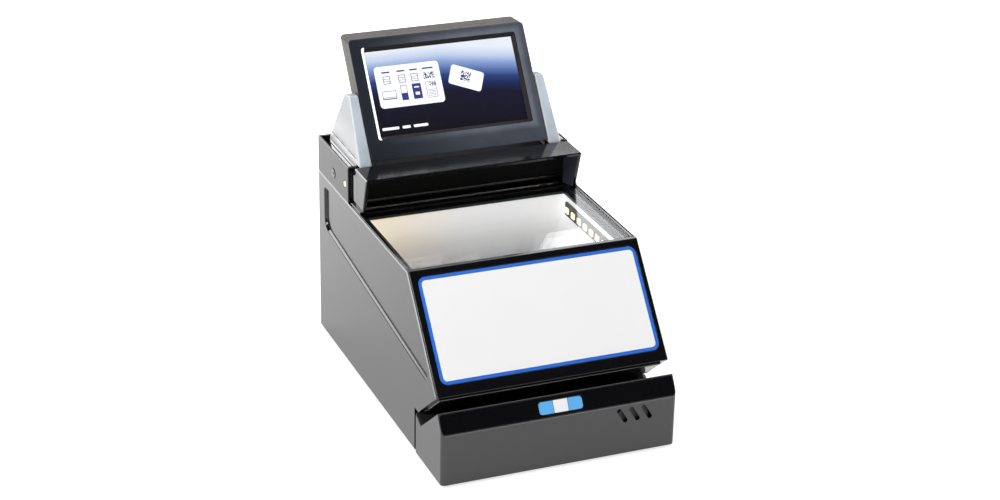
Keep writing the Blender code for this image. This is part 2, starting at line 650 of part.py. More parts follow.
def screw(name, place, carrier, material, axis="Z", head_face=0.0, way=1):
    """A screw with a round head and a hexagon socket, driven along its axis."""
    profile = [(SCREW_HEAD_RADIUS - SOFT_EDGE, head_face), (SCREW_HEAD_RADIUS, head_face + way * SOFT_EDGE),
               (SCREW_HEAD_RADIUS, head_face + way * SCREW_HEAD_HEIGHT),
               (SCREW_RADIUS, head_face + way * SCREW_HEAD_HEIGHT),
               (SCREW_RADIUS, head_face + way * SCREW_LENGTH)]
    item = turned(name, profile, axis, place, carrier, material, sides=ROUND_SIDES // 2)
    drive = circle(SCREW_DRIVE_RADIUS, place, 6)
    ends = sorted((head_face - way * OVERRUN, head_face + way * SCREW_DRIVE_DEPTH))
    cut(item, prism(f"{name}_drive", drive, axis, *ends, carrier))
    return item


def base_screws(root, material):
    """Four screws that hold the side panels to the base plate."""
    names = ("base_screw_front_left", "base_screw_front_right", "base_screw_rear_left",
             "base_screw_rear_right")
    for name, place in zip(names, screw_places()):
        screw(name, place, root, material)


def block_outline():
    """The front block seen from the right, anticlockwise from the foot of its face."""
    return [(0.0, 0.0), (BLOCK_JOINT_DEPTH, 0.0), (BLOCK_JOINT_DEPTH, SLOT_REAR_HEIGHT),
            (SLOT_FLOOR_DEPTH, SLOT_FLOOR_HEIGHT), (RIDGE_DEPTH, RIDGE_HEIGHT), (0.0, BLOCK_FACE_HEIGHT)]


def front_block(root, top_frame, slot_frame, material):
    """The shell in front of the swipe slot, open below."""
    shape = pushed_outline(block_outline(), "X", -BLOCK_HALF, BLOCK_HALF)
    upright = [edge for edge in shape.edges
               if all(vert.co.y < RIDGE_DEPTH / 2 for vert in edge.verts)
               and abs(edge.verts[0].co.z - edge.verts[1].co.z) > BLOCK_FACE_HEIGHT / 2]
    round_edges(shape, upright, BLOCK_CORNER, CORNER_STEPS)
    shell = soften(add_object("front_block", shape, root, material))
    hollow = inset(block_outline(), [-OVERRUN] + [BLOCK_WALL] * 5)
    inner = BLOCK_HALF - BLOCK_WALL
    cut(shell, prism("block_hollow", hollow, "X", -inner, inner, root))
    cut(shell, block("base_passage", (-SEAT - GAP, BLOCK_JOINT_DEPTH - BLOCK_WALL - OVERRUN, -OVERRUN),
                     (SEAT + GAP, BLOCK_JOINT_DEPTH + OVERRUN, BASE_THICKNESS + GAP), root))
    low, high = -BLOCK_HALF + INLAY_MARGIN, BLOCK_HALF - INLAY_MARGIN
    pocket = round_rectangle(low, high, INLAY_MARGIN, BLOCK_TOP_LENGTH - INLAY_TOP_MARGIN, INLAY_CORNER)
    cut(shell, prism("inlay_pocket", pocket, "Z", -INLAY_THICKNESS - GAP, OVERRUN, top_frame))
    port = rectangle(LIGHT_OFFSET - LIGHT_WIDTH / 2 + LIGHT_PORT_MARGIN,
                     LIGHT_OFFSET + LIGHT_WIDTH / 2 - LIGHT_PORT_MARGIN,
                     light_foot() + LIGHT_PORT_MARGIN, light_foot() + LIGHT_HEIGHT - LIGHT_PORT_MARGIN)
    cut(shell, prism("light_port", port, "Z", -BLOCK_WALL - OVERRUN, OVERRUN, top_frame))
    across = BLOCK_HALF - SLOT_LINER_INSET
    join(shell, prism("slot_liner", liner_outline(), "X", -across, across, slot_frame))
    lean = radians(SLIT_LEAN)
    for number in range(SLIT_COUNT):
        middle = (SLIT_MIDDLE + (number - (SLIT_COUNT - 1) / 2) * SLIT_PITCH, BLOCK_FACE_HEIGHT - SLIT_DROP)
        slit = slanted_slit(middle, lean)
        cut(shell, prism(f"slit_{number}", slit, "Y", -OVERRUN, BLOCK_WALL + OVERRUN / 2, root))
    return shell


def liner_outline():
    """The raised part of the slot's floor, in the slot's frame: up the wall, and across to the block."""
    away = BLOCK_JOINT_DEPTH - SLOT_FLOOR_DEPTH, SLOT_REAR_HEIGHT - SLOT_FLOOR_HEIGHT
    far_up = away[0] * -cos(SLOT_ANGLE) - away[1] * sin(SLOT_ANGLE)
    far_across = away[0] * sin(SLOT_ANGLE) - away[1] * cos(SLOT_ANGLE)
    near_across = SLOT_STEP + GAP
    near_up = far_up * near_across / far_across
    deep = BLOCK_WALL / 2
    return [(near_up - deep, near_across), (near_up + SLOT_LINER, near_across),
            (far_up + SLOT_LINER, far_across + deep), (far_up - deep, far_across + deep)]


def slanted_slit(middle, lean):
    """A slit with round ends that leans to the left at its top."""
    radius = SLIT_WIDTH / 2
    straight = SLIT_LENGTH / 2 - radius
    outline = []
    for end in (1, -1):
        for step in range(CORNER_STEPS + 1):
            turn = pi * step / CORNER_STEPS + (0 if end > 0 else pi)
            across, up = radius * cos(turn), radius * sin(turn) + end * straight
            outline.append((middle[0] + across * cos(lean) - up * sin(lean),
                            middle[1] + across * sin(lean) + up * cos(lean)))
    return outline


def light_foot():
    """Where the status light starts, up the block's sloping top."""
    return INLAY_MARGIN + GAP + LIGHT_UP


def block_inlay(top_frame, material):
    """The glossy inlay in the block's sloping top, with a window for the status light."""
    low, high = -BLOCK_HALF + INLAY_MARGIN + GAP, BLOCK_HALF - INLAY_MARGIN - GAP
    outline = round_rectangle(low, high, INLAY_MARGIN + GAP, BLOCK_TOP_LENGTH - INLAY_TOP_MARGIN - GAP,
                              INLAY_CORNER - GAP)
    inlay = prism("block_inlay", outline, "Z", -INLAY_THICKNESS, 0.0, top_frame, material)
    low, high = LIGHT_OFFSET - LIGHT_WIDTH / 2 - GAP, LIGHT_OFFSET + LIGHT_WIDTH / 2 + GAP
    window = rectangle(low, high, light_foot() - GAP, light_foot() + LIGHT_HEIGHT + GAP)
    return cut(inlay, prism("light_window", window, "Z", -INLAY_THICKNESS - OVERRUN, OVERRUN, top_frame))


def status_lights(top_frame, colours):
    """Three small light guides side by side, flush with the inlay."""
    start = LIGHT_OFFSET - LIGHT_WIDTH / 2
    width = (LIGHT_WIDTH - 2 * GAP) / 3
    corner = LIGHT_HEIGHT / 4
    for number, name in enumerate(("status_light_left", "status_light_middle", "status_light_right")):
        low = start + number * (width + GAP)
        radii = [corner if number == 0 else 0, corner if number == 2 else 0,
                 corner if number == 2 else 0, corner if number == 0 else 0]
        outline = filleted(rectangle(low, low + width, light_foot(), light_foot() + LIGHT_HEIGHT), radii)
        prism(name, outline, "Z", -INLAY_THICKNESS, 0.0, top_frame, colours[number % 2])


def status_board(top_frame, material):
    """The strip of board behind the status light, against the inside of the block."""
    middle = light_foot() + LIGHT_HEIGHT / 2
    top = -BLOCK_WALL - GAP
    half, reach = STATUS_BOARD_LENGTH / 2, STATUS_BOARD_HEIGHT / 2
    strip = block("status_board", (LIGHT_OFFSET - half, middle - reach, top - BOARD_THICKNESS),
                  (LIGHT_OFFSET + half, middle + reach, top), top_frame, material)
    room = BLOCK_WALL - INLAY_THICKNESS - 2 * GAP
    for number in range(3):
        place = LIGHT_OFFSET + (number - 1) * LIGHT_WIDTH / 3
        reach = LIGHT_PORT_MARGIN
        low = (place - reach, middle - reach, top - BOARD_THICKNESS / 2)
        join(strip, block(f"status_chip_{number}", low, (place + reach, middle + reach, top + room),
                          top_frame))
    return strip


def speaker(root, material):
    """A small round speaker behind the slits."""
    front = BLOCK_WALL + GAP
    centre = (SLIT_MIDDLE, BLOCK_FACE_HEIGHT - SLIT_DROP - SPEAKER_RADIUS / 3)
    profile = [(SPEAKER_RADIUS, front), (SPEAKER_RADIUS, front + SPEAKER_DEPTH),
               (SPEAKER_MAGNET_RADIUS, front + SPEAKER_DEPTH),
               (SPEAKER_MAGNET_RADIUS, front + SPEAKER_DEPTH + SPEAKER_MAGNET_DEPTH)]
    return turned("speaker", profile, "Y", centre, root, material)


def front_bezel(root, slope_frame, material):
    """The black plate of the front slope, with a shallow tray for the lit sheet."""
    run, rise = cos(SLOPE_ANGLE), sin(SLOPE_ANGLE)
    under = SEAM_HEIGHT - BEZEL_THICKNESS * run
    outline = [(SLOPE_FOOT_DEPTH, SLOPE_FOOT_HEIGHT),
               (SLOPE_FOOT_DEPTH + BEZEL_THICKNESS * rise, SLOPE_FOOT_HEIGHT - BEZEL_THICKNESS * run),
               (SLOPE_TOP_DEPTH + BEZEL_THICKNESS * rise, under), (BEZEL_REAR, under),
               (BEZEL_REAR, SEAM_HEIGHT), (SLOPE_TOP_DEPTH, SEAM_HEIGHT)]
    bezel = soften(prism("front_bezel", outline, "X", -EDGE_SEAT, EDGE_SEAT, root, material))
    tray = round_rectangle(*sheet_bounds(-GAP), SHEET_CORNER + GAP)
    return cut(bezel, prism("sheet_tray", tray, "Z", -SHEET_THICKNESS - GAP, OVERRUN, slope_frame))


def sheet_bounds(margin):
    """The surround's outer edge, less a margin: low and high X, then low and high place up the slope."""
    half = EDGE_SEAT - SHEET_SIDE_MARGIN - margin
    return (SHEET_OFFSET - half, SHEET_OFFSET + half, SHEET_FOOT_MARGIN + margin,
            SLOPE_LENGTH - SHEET_TOP_MARGIN - margin)


def front_sheet(slope_frame, surround_material, sheet_material):
    """The coloured surround and the white sheet inside it."""
    outer = round_rectangle(*sheet_bounds(0.0), SHEET_CORNER)
    ring = prism("front_surround", outer, "Z", -SHEET_THICKNESS, 0.0, slope_frame, surround_material)
    hole = round_rectangle(*sheet_bounds(SURROUND_WIDTH), SHEET_CORNER - SURROUND_WIDTH)
    cut(ring, prism("surround_hole", hole, "Z", -SHEET_THICKNESS - OVERRUN, OVERRUN, slope_frame))
    sheet = round_rectangle(*sheet_bounds(SURROUND_WIDTH + GAP), SHEET_CORNER - SURROUND_WIDTH - GAP)
    prism("front_sheet", sheet, "Z", -SHEET_THICKNESS, 0.0, slope_frame, sheet_material)


def slot_wall(slot_frame, material, glass, dark):
    """The inner wall of the swipe slot, its reading window and the head behind that."""
    top = SLOT_LENGTH - BEZEL_THICKNESS - 2 * GAP
    wall = soften(block("slot_wall", (-SEAT, SLOT_WALL_FOOT, -SLOT_WALL_BACK), (SEAT, top, SLOT_STEP),
                        slot_frame, material))
    foot = SLOT_WALL_FOOT + SWIPE_WINDOW_UP
    half, head = SWIPE_WINDOW_WIDTH / 2, foot + SWIPE_WINDOW_HEIGHT
    ledge = GAP + OVERRUN / 2
    seat = block("swipe_seat", (-half - GAP, foot - GAP, SLOT_STEP - SWIPE_WINDOW_THICKNESS - GAP),
                 (half + GAP, head + GAP, SLOT_STEP + OVERRUN), slot_frame)
    port = block("swipe_port", (ledge - half, foot + ledge, -SLOT_WALL_BACK - OVERRUN),
                 (half - ledge, head - ledge, SLOT_STEP), slot_frame)
    cut(cut(wall, seat), port)
    block("swipe_window", (-half, foot, SLOT_STEP - SWIPE_WINDOW_THICKNESS), (half, head, SLOT_STEP),
          slot_frame, glass)
    face = -SLOT_WALL_BACK - GAP
    wide = rectangle(-half - SWIPE_HEAD_MARGIN, half + SWIPE_HEAD_MARGIN, foot, head + SWIPE_HEAD_MARGIN)
    narrow = rectangle(-half, half, foot + SWIPE_HEAD_TAPER, head)
    rings = stacked_outlines([narrow, wide, wide], "Z",
                             [face - SWIPE_HEAD_DEPTH, face - SWIPE_HEAD_DEPTH / 3, face])
    add_object("swipe_head", rings, slot_frame, dark)
    return wall


def document_frame(root, material):
    """The frame that the document glass lies in, with a rear shelf under the hood."""
    frame = soften(block("document_frame", (-EDGE_SEAT, GLASS_FRONT, FRAME_UNDER),
                         (EDGE_SEAT, REAR_COVER_FRONT - GAP, SEAM_HEIGHT), root, material))
    pocket = block("glass_pocket", (-GLASS_HALF - GAP, GLASS_FRONT - OVERRUN, LEDGE_TOP),
                   (GLASS_HALF + GAP, GLASS_REAR + GAP, SEAM_HEIGHT + OVERRUN), root)
    aperture = block("aperture", (-APERTURE_HALF, APERTURE_FRONT, FRAME_UNDER - OVERRUN),
                     (APERTURE_HALF, APERTURE_REAR, SEAM_HEIGHT), root)
    return cut(cut(frame, pocket), aperture)


def document_glass(root, glass, rubber):
    """The glass that the document lies on, and the gasket under its edge."""
    block("document_glass", (-GLASS_HALF, GLASS_FRONT, GLASS_UNDER), (GLASS_HALF, GLASS_REAR, SEAM_HEIGHT),
          root, glass)
    gasket = block("glass_gasket", (-GLASS_HALF, GLASS_FRONT, LEDGE_TOP + GAP),
                   (GLASS_HALF, GLASS_REAR, LEDGE_TOP + GAP + GASKET_THICKNESS), root, rubber)
    hole = block("gasket_hole", (-APERTURE_HALF, APERTURE_FRONT, LEDGE_TOP - OVERRUN),
                 (APERTURE_HALF, APERTURE_REAR, SEAM_HEIGHT), root)
    return cut(gasket, hole)


def ringed(rings, closed=False):
    """A bmesh solid through rings of 3-D points; closed rings join up with each other instead of ending."""
    shape = bmesh.new()
    loops = [[shape.verts.new(point) for point in ring] for ring in rings]
    pairs = list(zip(loops, loops[1:] + loops[:1] if closed else loops[1:]))
    for lower, upper in pairs:
        for index in range(len(lower)):
            after = (index + 1) % len(lower)
            shape.faces.new([lower[index], lower[after], upper[after], upper[index]])
    if not closed:
        shape.faces.new(loops[0])
        shape.faces.new(list(reversed(loops[-1])))
    return shape


def hood(root, material):
    """The hood over the rear of the glass: a deep dark mouth, a document stop and two side flanges."""
    foot = SEAM_HEIGHT + GAP
    plate = HOOD_TOP - HOOD_TOP_WALL
    front_foot = HOOD_FRONT + HOOD_BACK_SLANT
    rear = NECK_FRONT + HOOD_OVERHANG
    outline = [(front_foot, foot), (NECK_FRONT, foot), (NECK_FRONT, plate), (rear, plate), (rear, HOOD_TOP),
               (HOOD_FRONT, HOOD_TOP)]
    item = prism("hood", outline, "X", -HOOD_HALF, HOOD_HALF, root, material)
    soften(item)
    for side, name in ((-1, "left"), (1, "right")):
        outer = side * (HOOD_HALF + HOOD_FOOT_PROUD)
        low, high = sorted((outer, outer - side * HOOD_FOOT_WIDTH))
        join(item, block(f"hood_foot_{name}", (low, front_foot + 2 * SOFT_EDGE, foot + GAP),
                         (high, REAR_COVER_FRONT - GAP, foot + HOOD_FOOT_RISE), root))
    throat = HOOD_HALF - HOOD_THROAT_INSET
    lean = HOOD_BACK_SLANT / (HOOD_TOP - foot)
    cutter = []
    for place, half in ((-OVERRUN, throat + HOOD_FLARE), (0.0, throat + HOOD_FLARE), (None, throat)):
        ring = []
        below = SEAM_HEIGHT - OVERRUN
        for side, height in ((-1, below), (1, below), (1, plate), (-1, plate)):
            depth = HOOD_STOP if place is None else HOOD_FRONT + (HOOD_TOP - height) * lean + place
            ring.append((side * half, depth, height))
        cutter.append(ring)
    shape = ringed(cutter)
    bmesh.ops.triangulate(shape, faces=shape.faces)
    cut(item, add_object("hood_mouth", shape, root))
    cut(item, block("hood_lip_gap", (GAP - throat, HOOD_STOP - OVERRUN, SEAM_HEIGHT - OVERRUN),
                    (throat - GAP, NECK_FRONT + OVERRUN, SEAM_HEIGHT + HOOD_LIP_RISE), root))
    low = SEAM_HEIGHT + HOOD_LIP_RISE
    join(item, block("hood_lip", (-throat - SOFT_EDGE, HOOD_STOP - HOOD_LIP_PROUD, low + GAP),
                     (throat + SOFT_EDGE, HOOD_STOP + HOOD_STOP_THICKNESS / 2, low + HOOD_LIP_HEIGHT), root))
    return item


def hood_carrier(root, material):
    """The dark neck behind the hood, which ties it to the rear cover."""
    half = HALF - NECK_INSET - GAP
    return block("hood_carrier", (-half, NECK_FRONT + GAP, SEAM_HEIGHT + GAP),
                 (half, REAR_COVER_FRONT - GAP, REAR_COVER_TOP - NECK_DROP), root, material)


def rear_cover(root, material):
    """The raised rear housing, with a recessed deck between its rims."""
    low = (-HALF, REAR_COVER_FRONT, SEAM_HEIGHT + GAP)
    high = (HALF, BODY_DEPTH, REAR_COVER_TOP)
    cover = soften(block("rear_cover", low, high, root, material))
    cut(cover, block("deck_recess", (-REAR_INNER, REAR_COVER_FRONT + REAR_WALL, DECK_TOP),
                     (REAR_INNER, BODY_DEPTH - REAR_WALL, REAR_COVER_TOP + OVERRUN), root))
    cut(cover, block("deck_mouth", (-DISPLAY_HALF, REAR_COVER_FRONT - OVERRUN, DECK_TOP),
                     (DISPLAY_HALF, REAR_COVER_FRONT + REAR_WALL + OVERRUN, REAR_COVER_TOP + OVERRUN), root))
    cut(cover, block("cover_hollow", (-REAR_INNER, REAR_COVER_FRONT + REAR_WALL, SEAM_HEIGHT - OVERRUN),
                     (REAR_INNER, BODY_DEPTH + OVERRUN, DECK_TOP - DECK_THICKNESS), root))
    for number, depth in enumerate(side_post_places()):
        post = circle(SIDE_POST_RADIUS, (depth, side_board_middle()), ROUND_SIDES // 2)
        ends = -HALF + REAR_WALL / 2, side_board_outer() - GAP
        join(cover, prism(f"side_post_{number}", post, "X", *ends, root))
    hole = circle(BUTTON_RADIUS + BUTTON_PLAY, (BUTTON_DEPTH, BUTTON_HEIGHT))
    cut(cover, prism("button_hole", hole, "X", -HALF - OVERRUN, -REAR_INNER + OVERRUN / 2, root))
    hole = circle(INDICATOR_RADIUS + GAP, (INDICATOR_DEPTH, INDICATOR_HEIGHT), ROUND_SIDES // 2)
    cut(cover, prism("indicator_hole", hole, "X", -HALF - OVERRUN, -REAR_INNER + OVERRUN / 2, root))
    return cover


def side_board_outer():
    """The face of the small side board that looks at the button: its X."""
    return (-REAR_INNER + GAP + BUTTON_FLANGE_THICKNESS + BUTTON_TRAVEL + GAP + SWITCH_HEIGHT + GAP)


def side_board_middle():
    """Height of the side board's middle."""
    return SEAM_HEIGHT + SIDE_BOARD_UP + SIDE_BOARD_HEIGHT / 2


def side_post_places():
    """Depths of the two posts that carry the side board."""
    reach = SIDE_POST_RADIUS + SIDE_POST_PLAY
    return (INDICATOR_DEPTH + INDICATOR_RADIUS + reach, BUTTON_DEPTH - BUTTON_FLANGE_RADIUS - reach)


def button_group(root, material, lens, green, dark):
    """The push button, the switch that it presses, the indicator and their small board."""
    face = -HALF - BUTTON_PROUD
    inner = -REAR_INNER + GAP
    centre = (BUTTON_DEPTH, BUTTON_HEIGHT)
    profile = [(BUTTON_RADIUS - SOFT_EDGE, face), (BUTTON_RADIUS, face + SOFT_EDGE), (BUTTON_RADIUS, inner),
               (BUTTON_FLANGE_RADIUS, inner), (BUTTON_FLANGE_RADIUS, inner + BUTTON_FLANGE_THICKNESS)]
    button = turned("power_button", profile, "X", centre, root, material,
                    origin=(face, BUTTON_DEPTH, BUTTON_HEIGHT))
    dish = circle(BUTTON_DISH_RADIUS, centre)
    cut(button, prism("button_dish", dish, "X", face - OVERRUN, face + BUTTON_DISH_DEPTH, root))
    switch_face = side_board_outer() - GAP - SWITCH_HEIGHT
    reach = SWITCH_SIZE / 2
    block("button_switch", (switch_face, BUTTON_DEPTH - reach, BUTTON_HEIGHT - reach),
          (side_board_outer() - GAP, BUTTON_DEPTH + reach, BUTTON_HEIGHT + reach), root, dark)
    profile = [(INDICATOR_RADIUS - SOFT_EDGE, -HALF - INDICATOR_PROUD), (INDICATOR_RADIUS, -HALF),
               (INDICATOR_RADIUS, side_board_outer() - GAP)]
    turned("indicator_lens", profile, "X", (INDICATOR_DEPTH, INDICATOR_HEIGHT), root, lens,
           sides=ROUND_SIDES // 2)
    low = SEAM_HEIGHT + SIDE_BOARD_UP
    block("side_board", (side_board_outer(), REAR_COVER_FRONT + REAR_WALL + SIDE_POST_PLAY, low),
          (side_board_outer() + BOARD_THICKNESS, BUTTON_DEPTH + SIDE_BOARD_END, low + SIDE_BOARD_HEIGHT),
          root, green)
    return button


def rear_panel(root, material):
    """The rear wall, with openings for the sockets, a lock slot, vents and two screws."""
    top = DECK_TOP - DECK_THICKNESS - GAP
    panel = block("rear_panel", (-SEAT, REAR_PANEL_FRONT, BASE_THICKNESS + GAP),
                  (SEAT, REAR_PANEL_REAR, top), root, material)
    soften(panel, SOFT_EDGE / 2, 1)
    front, rear = REAR_PANEL_FRONT - OVERRUN, REAR_PANEL_REAR + OVERRUN
    foot = socket_foot()
    usb = rectangle(USB_OFFSET - USB_WIDTH / 2 - GAP, USB_OFFSET + USB_WIDTH / 2 + GAP,
                    foot - GAP, foot + USB_HEIGHT + GAP)
    cut(panel, prism("usb_opening", usb, "Y", front, rear, root))
    power = rectangle(POWER_OFFSET - POWER_WIDTH / 2 - GAP, POWER_OFFSET + POWER_WIDTH / 2 + GAP,
                      foot - GAP, foot + POWER_HEIGHT + GAP)
    cut(panel, prism("power_opening", power, "Y", front, rear, root))
    middle = foot + USB_HEIGHT / 2
    lock = round_rectangle(LOCK_OFFSET - LOCK_WIDTH / 2, LOCK_OFFSET + LOCK_WIDTH / 2,
                           middle - LOCK_HEIGHT / 2, middle + LOCK_HEIGHT / 2, LOCK_HEIGHT / 3)
    cut(panel, prism("lock_opening", lock, "Y", front, rear, root))
    for number in range(VENT_COUNT):
        place = (number - (VENT_COUNT - 1) / 2) * VENT_PITCH
        vent = round_rectangle(place - VENT_WIDTH / 2, place + VENT_WIDTH / 2, VENT_HEIGHT - VENT_LENGTH / 2,
                               VENT_HEIGHT + VENT_LENGTH / 2, VENT_WIDTH * 2 / 5, 2)
        cut(panel, prism(f"vent_{number}", vent, "Y", front, rear, root))
    for place in rear_screw_places():
        hole = circle(SCREW_RADIUS + SCREW_PLAY, place, ROUND_SIDES // 2)
        cut(panel, prism(f"rear_screw_hole_{round(place[0] / GAP)}", hole, "Y", front, rear, root))
    return panel


def rear_screw_places():
    """The two rear screws: X and height of each."""
    across = PANEL_INNER - BOSS_RADIUS - PANEL_WALL
    return [(-across, REAR_SCREW_HEIGHT), (across, REAR_SCREW_HEIGHT)]


def socket_foot():
    """Height of the sockets' underside."""
    return MAIN_BOARD_HEIGHT + BOARD_THICKNESS + GAP


def main_board(root, green, steel, dark):
    """The main board with a shield can, and the two sockets at its rear edge."""
    rear = BODY_DEPTH - MAIN_BOARD_FROM_REAR
    front = rear - MAIN_BOARD_LENGTH
    board = block("main_board", (-MAIN_BOARD_WIDTH / 2, front, MAIN_BOARD_HEIGHT),
                  (MAIN_BOARD_WIDTH / 2, rear, MAIN_BOARD_HEIGHT + BOARD_THICKNESS), root, green)
    top = socket_foot()
    middle = front + MAIN_BOARD_LENGTH / 3
    block("shield_can", (-SHIELD_WIDTH / 2, middle - SHIELD_LENGTH / 2, top),
          (SHIELD_WIDTH / 2, middle + SHIELD_LENGTH / 2, top + SHIELD_HEIGHT), root, steel)
    start = REAR_PANEL_REAR - SOCKET_LENGTH
    low, high = USB_OFFSET - USB_WIDTH / 2, USB_OFFSET + USB_WIDTH / 2
    usb = block("usb_socket", (low, start, top), (high, REAR_PANEL_REAR, top + USB_HEIGHT), root, steel)
    wall = USB_MOUTH_WALL
    mouth = filleted(rectangle(low + wall, high - wall, top + wall, top + USB_HEIGHT - wall),
                     [0, 0, USB_CORNER, USB_CORNER], 1)
    floor = REAR_PANEL_REAR - USB_MOUTH_DEPTH
    cut(usb, prism("usb_mouth", mouth, "Y", floor, REAR_PANEL_REAR + OVERRUN, root))
    centre = top + USB_HEIGHT / 2
    tongue = rectangle(USB_OFFSET - USB_TONGUE_WIDTH / 2, USB_OFFSET + USB_TONGUE_WIDTH / 2,
                       centre - USB_TONGUE_HEIGHT / 2, centre + USB_TONGUE_HEIGHT / 2)
    join(usb, prism("usb_tongue", tongue, "Y", floor - wall, REAR_PANEL_REAR - wall, root))
    low, high = POWER_OFFSET - POWER_WIDTH / 2, POWER_OFFSET + POWER_WIDTH / 2
    power = block("power_socket", (low, start, top), (high, REAR_PANEL_REAR, top + POWER_HEIGHT), root, dark)
    bore = (POWER_OFFSET, top + POWER_HEIGHT / 2)
    cut(power, prism("power_bore", circle(POWER_BORE, bore, ROUND_SIDES // 2), "Y", floor,
                     REAR_PANEL_REAR + OVERRUN, root))
    join(power, prism("power_pin", circle(POWER_PIN, bore, ROUND_SIDES // 4), "Y", floor - wall,
                      REAR_PANEL_REAR - wall, root))
    return board


def imaging_parts(root, green, white, dark, glass, lamp):
    """Antenna, light chamber, lamps and camera under the glass."""
    half, front, rear = APERTURE_HALF, APERTURE_FRONT, APERTURE_REAR
    top = FRAME_UNDER - GAP
    wide = half + FRAME_LEDGE
    plan = rectangle(-wide, wide, front - FRAME_LEDGE + GAP, rear + ANTENNA_WIDTH)
    antenna = prism("antenna_board", plan, "Z", top - BOARD_THICKNESS, top, root, green)
    play = CHAMBER_SIDE_PLAY
    plan = rectangle(play - half, half - play, front + play, rear - play)
    cut(antenna, prism("antenna_hole", plan, "Z", top - BOARD_THICKNESS - OVERRUN, SEAM_HEIGHT, root))
    scan_chamber(root, white)
    for side, name in ((-1, "lamp_left"), (1, "lamp_right")):
        lamp_bar(name, side, root, lamp)
    board_top = CHAMBER_FOOT_HEIGHT - GAP
    middle, reach = CHAMBER_MIDDLE, CAMERA_BOARD_LENGTH / 2
    block("camera_board", (-CAMERA_BOARD_WIDTH / 2, middle - reach, board_top - BOARD_THICKNESS),
          (CAMERA_BOARD_WIDTH / 2, middle + reach, board_top), root, green)
    foot = board_top + GAP
    profile = [(BARREL_FLANGE_RADIUS, foot), (BARREL_FLANGE_RADIUS, foot + BARREL_FLANGE_HEIGHT),
               (BARREL_RADIUS, foot + BARREL_FLANGE_HEIGHT), (BARREL_RADIUS, foot + BARREL_HEIGHT)]
    barrel = turned("camera_barrel", profile, "Z", (0.0, middle), root, dark)
    bore = BARREL_RADIUS - BARREL_WALL
    low = foot + BARREL_HEIGHT - LENS_HEIGHT
    cut(barrel, prism("barrel_bore", circle(bore, (0.0, middle)), "Z", low - GAP,
                      foot + BARREL_HEIGHT + OVERRUN, root))
    profile = [(bore - GAP, low), (bore - GAP, low + LENS_HEIGHT - LENS_DOME)]
    profile += [((bore - GAP) * sqrt(1 - share ** 2), low + LENS_HEIGHT - LENS_DOME * (1 - share))
                for share in LENS_DOME_SHARES]
    turned("camera_lens", profile, "Z", (0.0, middle), root, glass)


def scan_chamber(root, material):
    """The light box: upright walls by the lamps, then a funnel down to the camera."""
    half = APERTURE_HALF - CHAMBER_SIDE_PLAY
    front, rear = APERTURE_FRONT + CHAMBER_SIDE_PLAY, APERTURE_REAR - CHAMBER_SIDE_PLAY
    levels = (CHAMBER_TOP, CHAMBER_TOP - CHAMBER_STRAIGHT, CHAMBER_FOOT_HEIGHT + GAP)
    foot_half, foot_reach = CHAMBER_FOOT_WIDTH / 2, CHAMBER_FOOT_LENGTH / 2
    foot_front, foot_rear = CHAMBER_MIDDLE - foot_reach, CHAMBER_MIDDLE + foot_reach
    inner = [rectangle(-half, half, front, rear)] * 2
    inner.append(rectangle(-foot_half, foot_half, foot_front, foot_rear))
    wall = CHAMBER_WALL
    outer = [rectangle(-half - wall, half + wall, front - wall, rear + wall)] * 2
    outer.append(rectangle(-foot_half - wall, foot_half + wall, foot_front - wall, foot_rear + wall))
    rings = [[(across, along, level) for across, along in loop]
             for loop, level in zip(outer + inner[::-1], levels + levels[::-1])]
    shape = ringed(rings, closed=True)
    return add_object("scan_chamber", shape, root, material)


def lamp_bar(name, side, root, material):
    """A strip of board with lamps along it, on the chamber's side wall."""
    start = APERTURE_FRONT + CHAMBER_SIDE_PLAY + LAMP_END
    end = APERTURE_REAR - CHAMBER_SIDE_PLAY - LAMP_END
    low = CHAMBER_TOP - (CHAMBER_STRAIGHT + LAMP_HEIGHT) / 2
    back = APERTURE_HALF - CHAMBER_SIDE_PLAY - GAP
    face = back - LAMP_THICKNESS
    faces = sorted((side * face, side * back))
    strip = prism(name, rectangle(start, end, low, low + LAMP_HEIGHT), "X", *faces, root, material)
    pitch = (end - start) / LAMP_CHIP_COUNT
    middle = low + LAMP_HEIGHT / 2
    for number in range(LAMP_CHIP_COUNT):
        place = start + (number + 0.5) * pitch
        outline = rectangle(place - LAMP_CHIP_LENGTH / 2, place + LAMP_CHIP_LENGTH / 2,
                            middle - LAMP_CHIP_HEIGHT / 2, middle + LAMP_CHIP_HEIGHT / 2)
        ends = sorted((side * (face - LAMP_CHIP_RISE), side * (face + LAMP_THICKNESS / 2)))
        join(strip, prism(f"{name}_chip_{number}", outline, "X", *ends, root))
    return strip


def cheek_outline():
    """A cheek seen from the right, anticlockwise from its front foot."""
    foot = REAR_COVER_TOP + GAP
    step = REAR_COVER_FRONT + REAR_WALL + GAP
    deck = DECK_TOP + GAP
    apex = HOOD_TOP + CHEEK_RISE
    ahead = DISPLAY_FOOT_DEPTH + (foot - DISPLAY_FOOT_HEIGHT) * tan(LEAN)
    top = DISPLAY_FOOT_DEPTH + (apex - DISPLAY_FOOT_HEIGHT) * tan(LEAN)
    rear = BODY_DEPTH - REAR_WALL - GAP
    corners = [(ahead, foot), (step, foot), (step, deck), (rear, deck), (top + CHEEK_APEX_LENGTH, apex),
               (top, apex)]
    return filleted(corners, [0, 0, 0, 0, CHEEK_APEX_CORNER, CHEEK_APEX_CORNER])


def cheek_thickness(depth):
    """A cheek is a wedge in plan: how thick it is at a depth."""
    front, rear = DISPLAY_FOOT_DEPTH, BODY_DEPTH - REAR_WALL - GAP
    share = (depth - front) / (rear - front)
    return CHEEK_THICKNESS + (CHEEK_REAR_THICKNESS - CHEEK_THICKNESS) * share


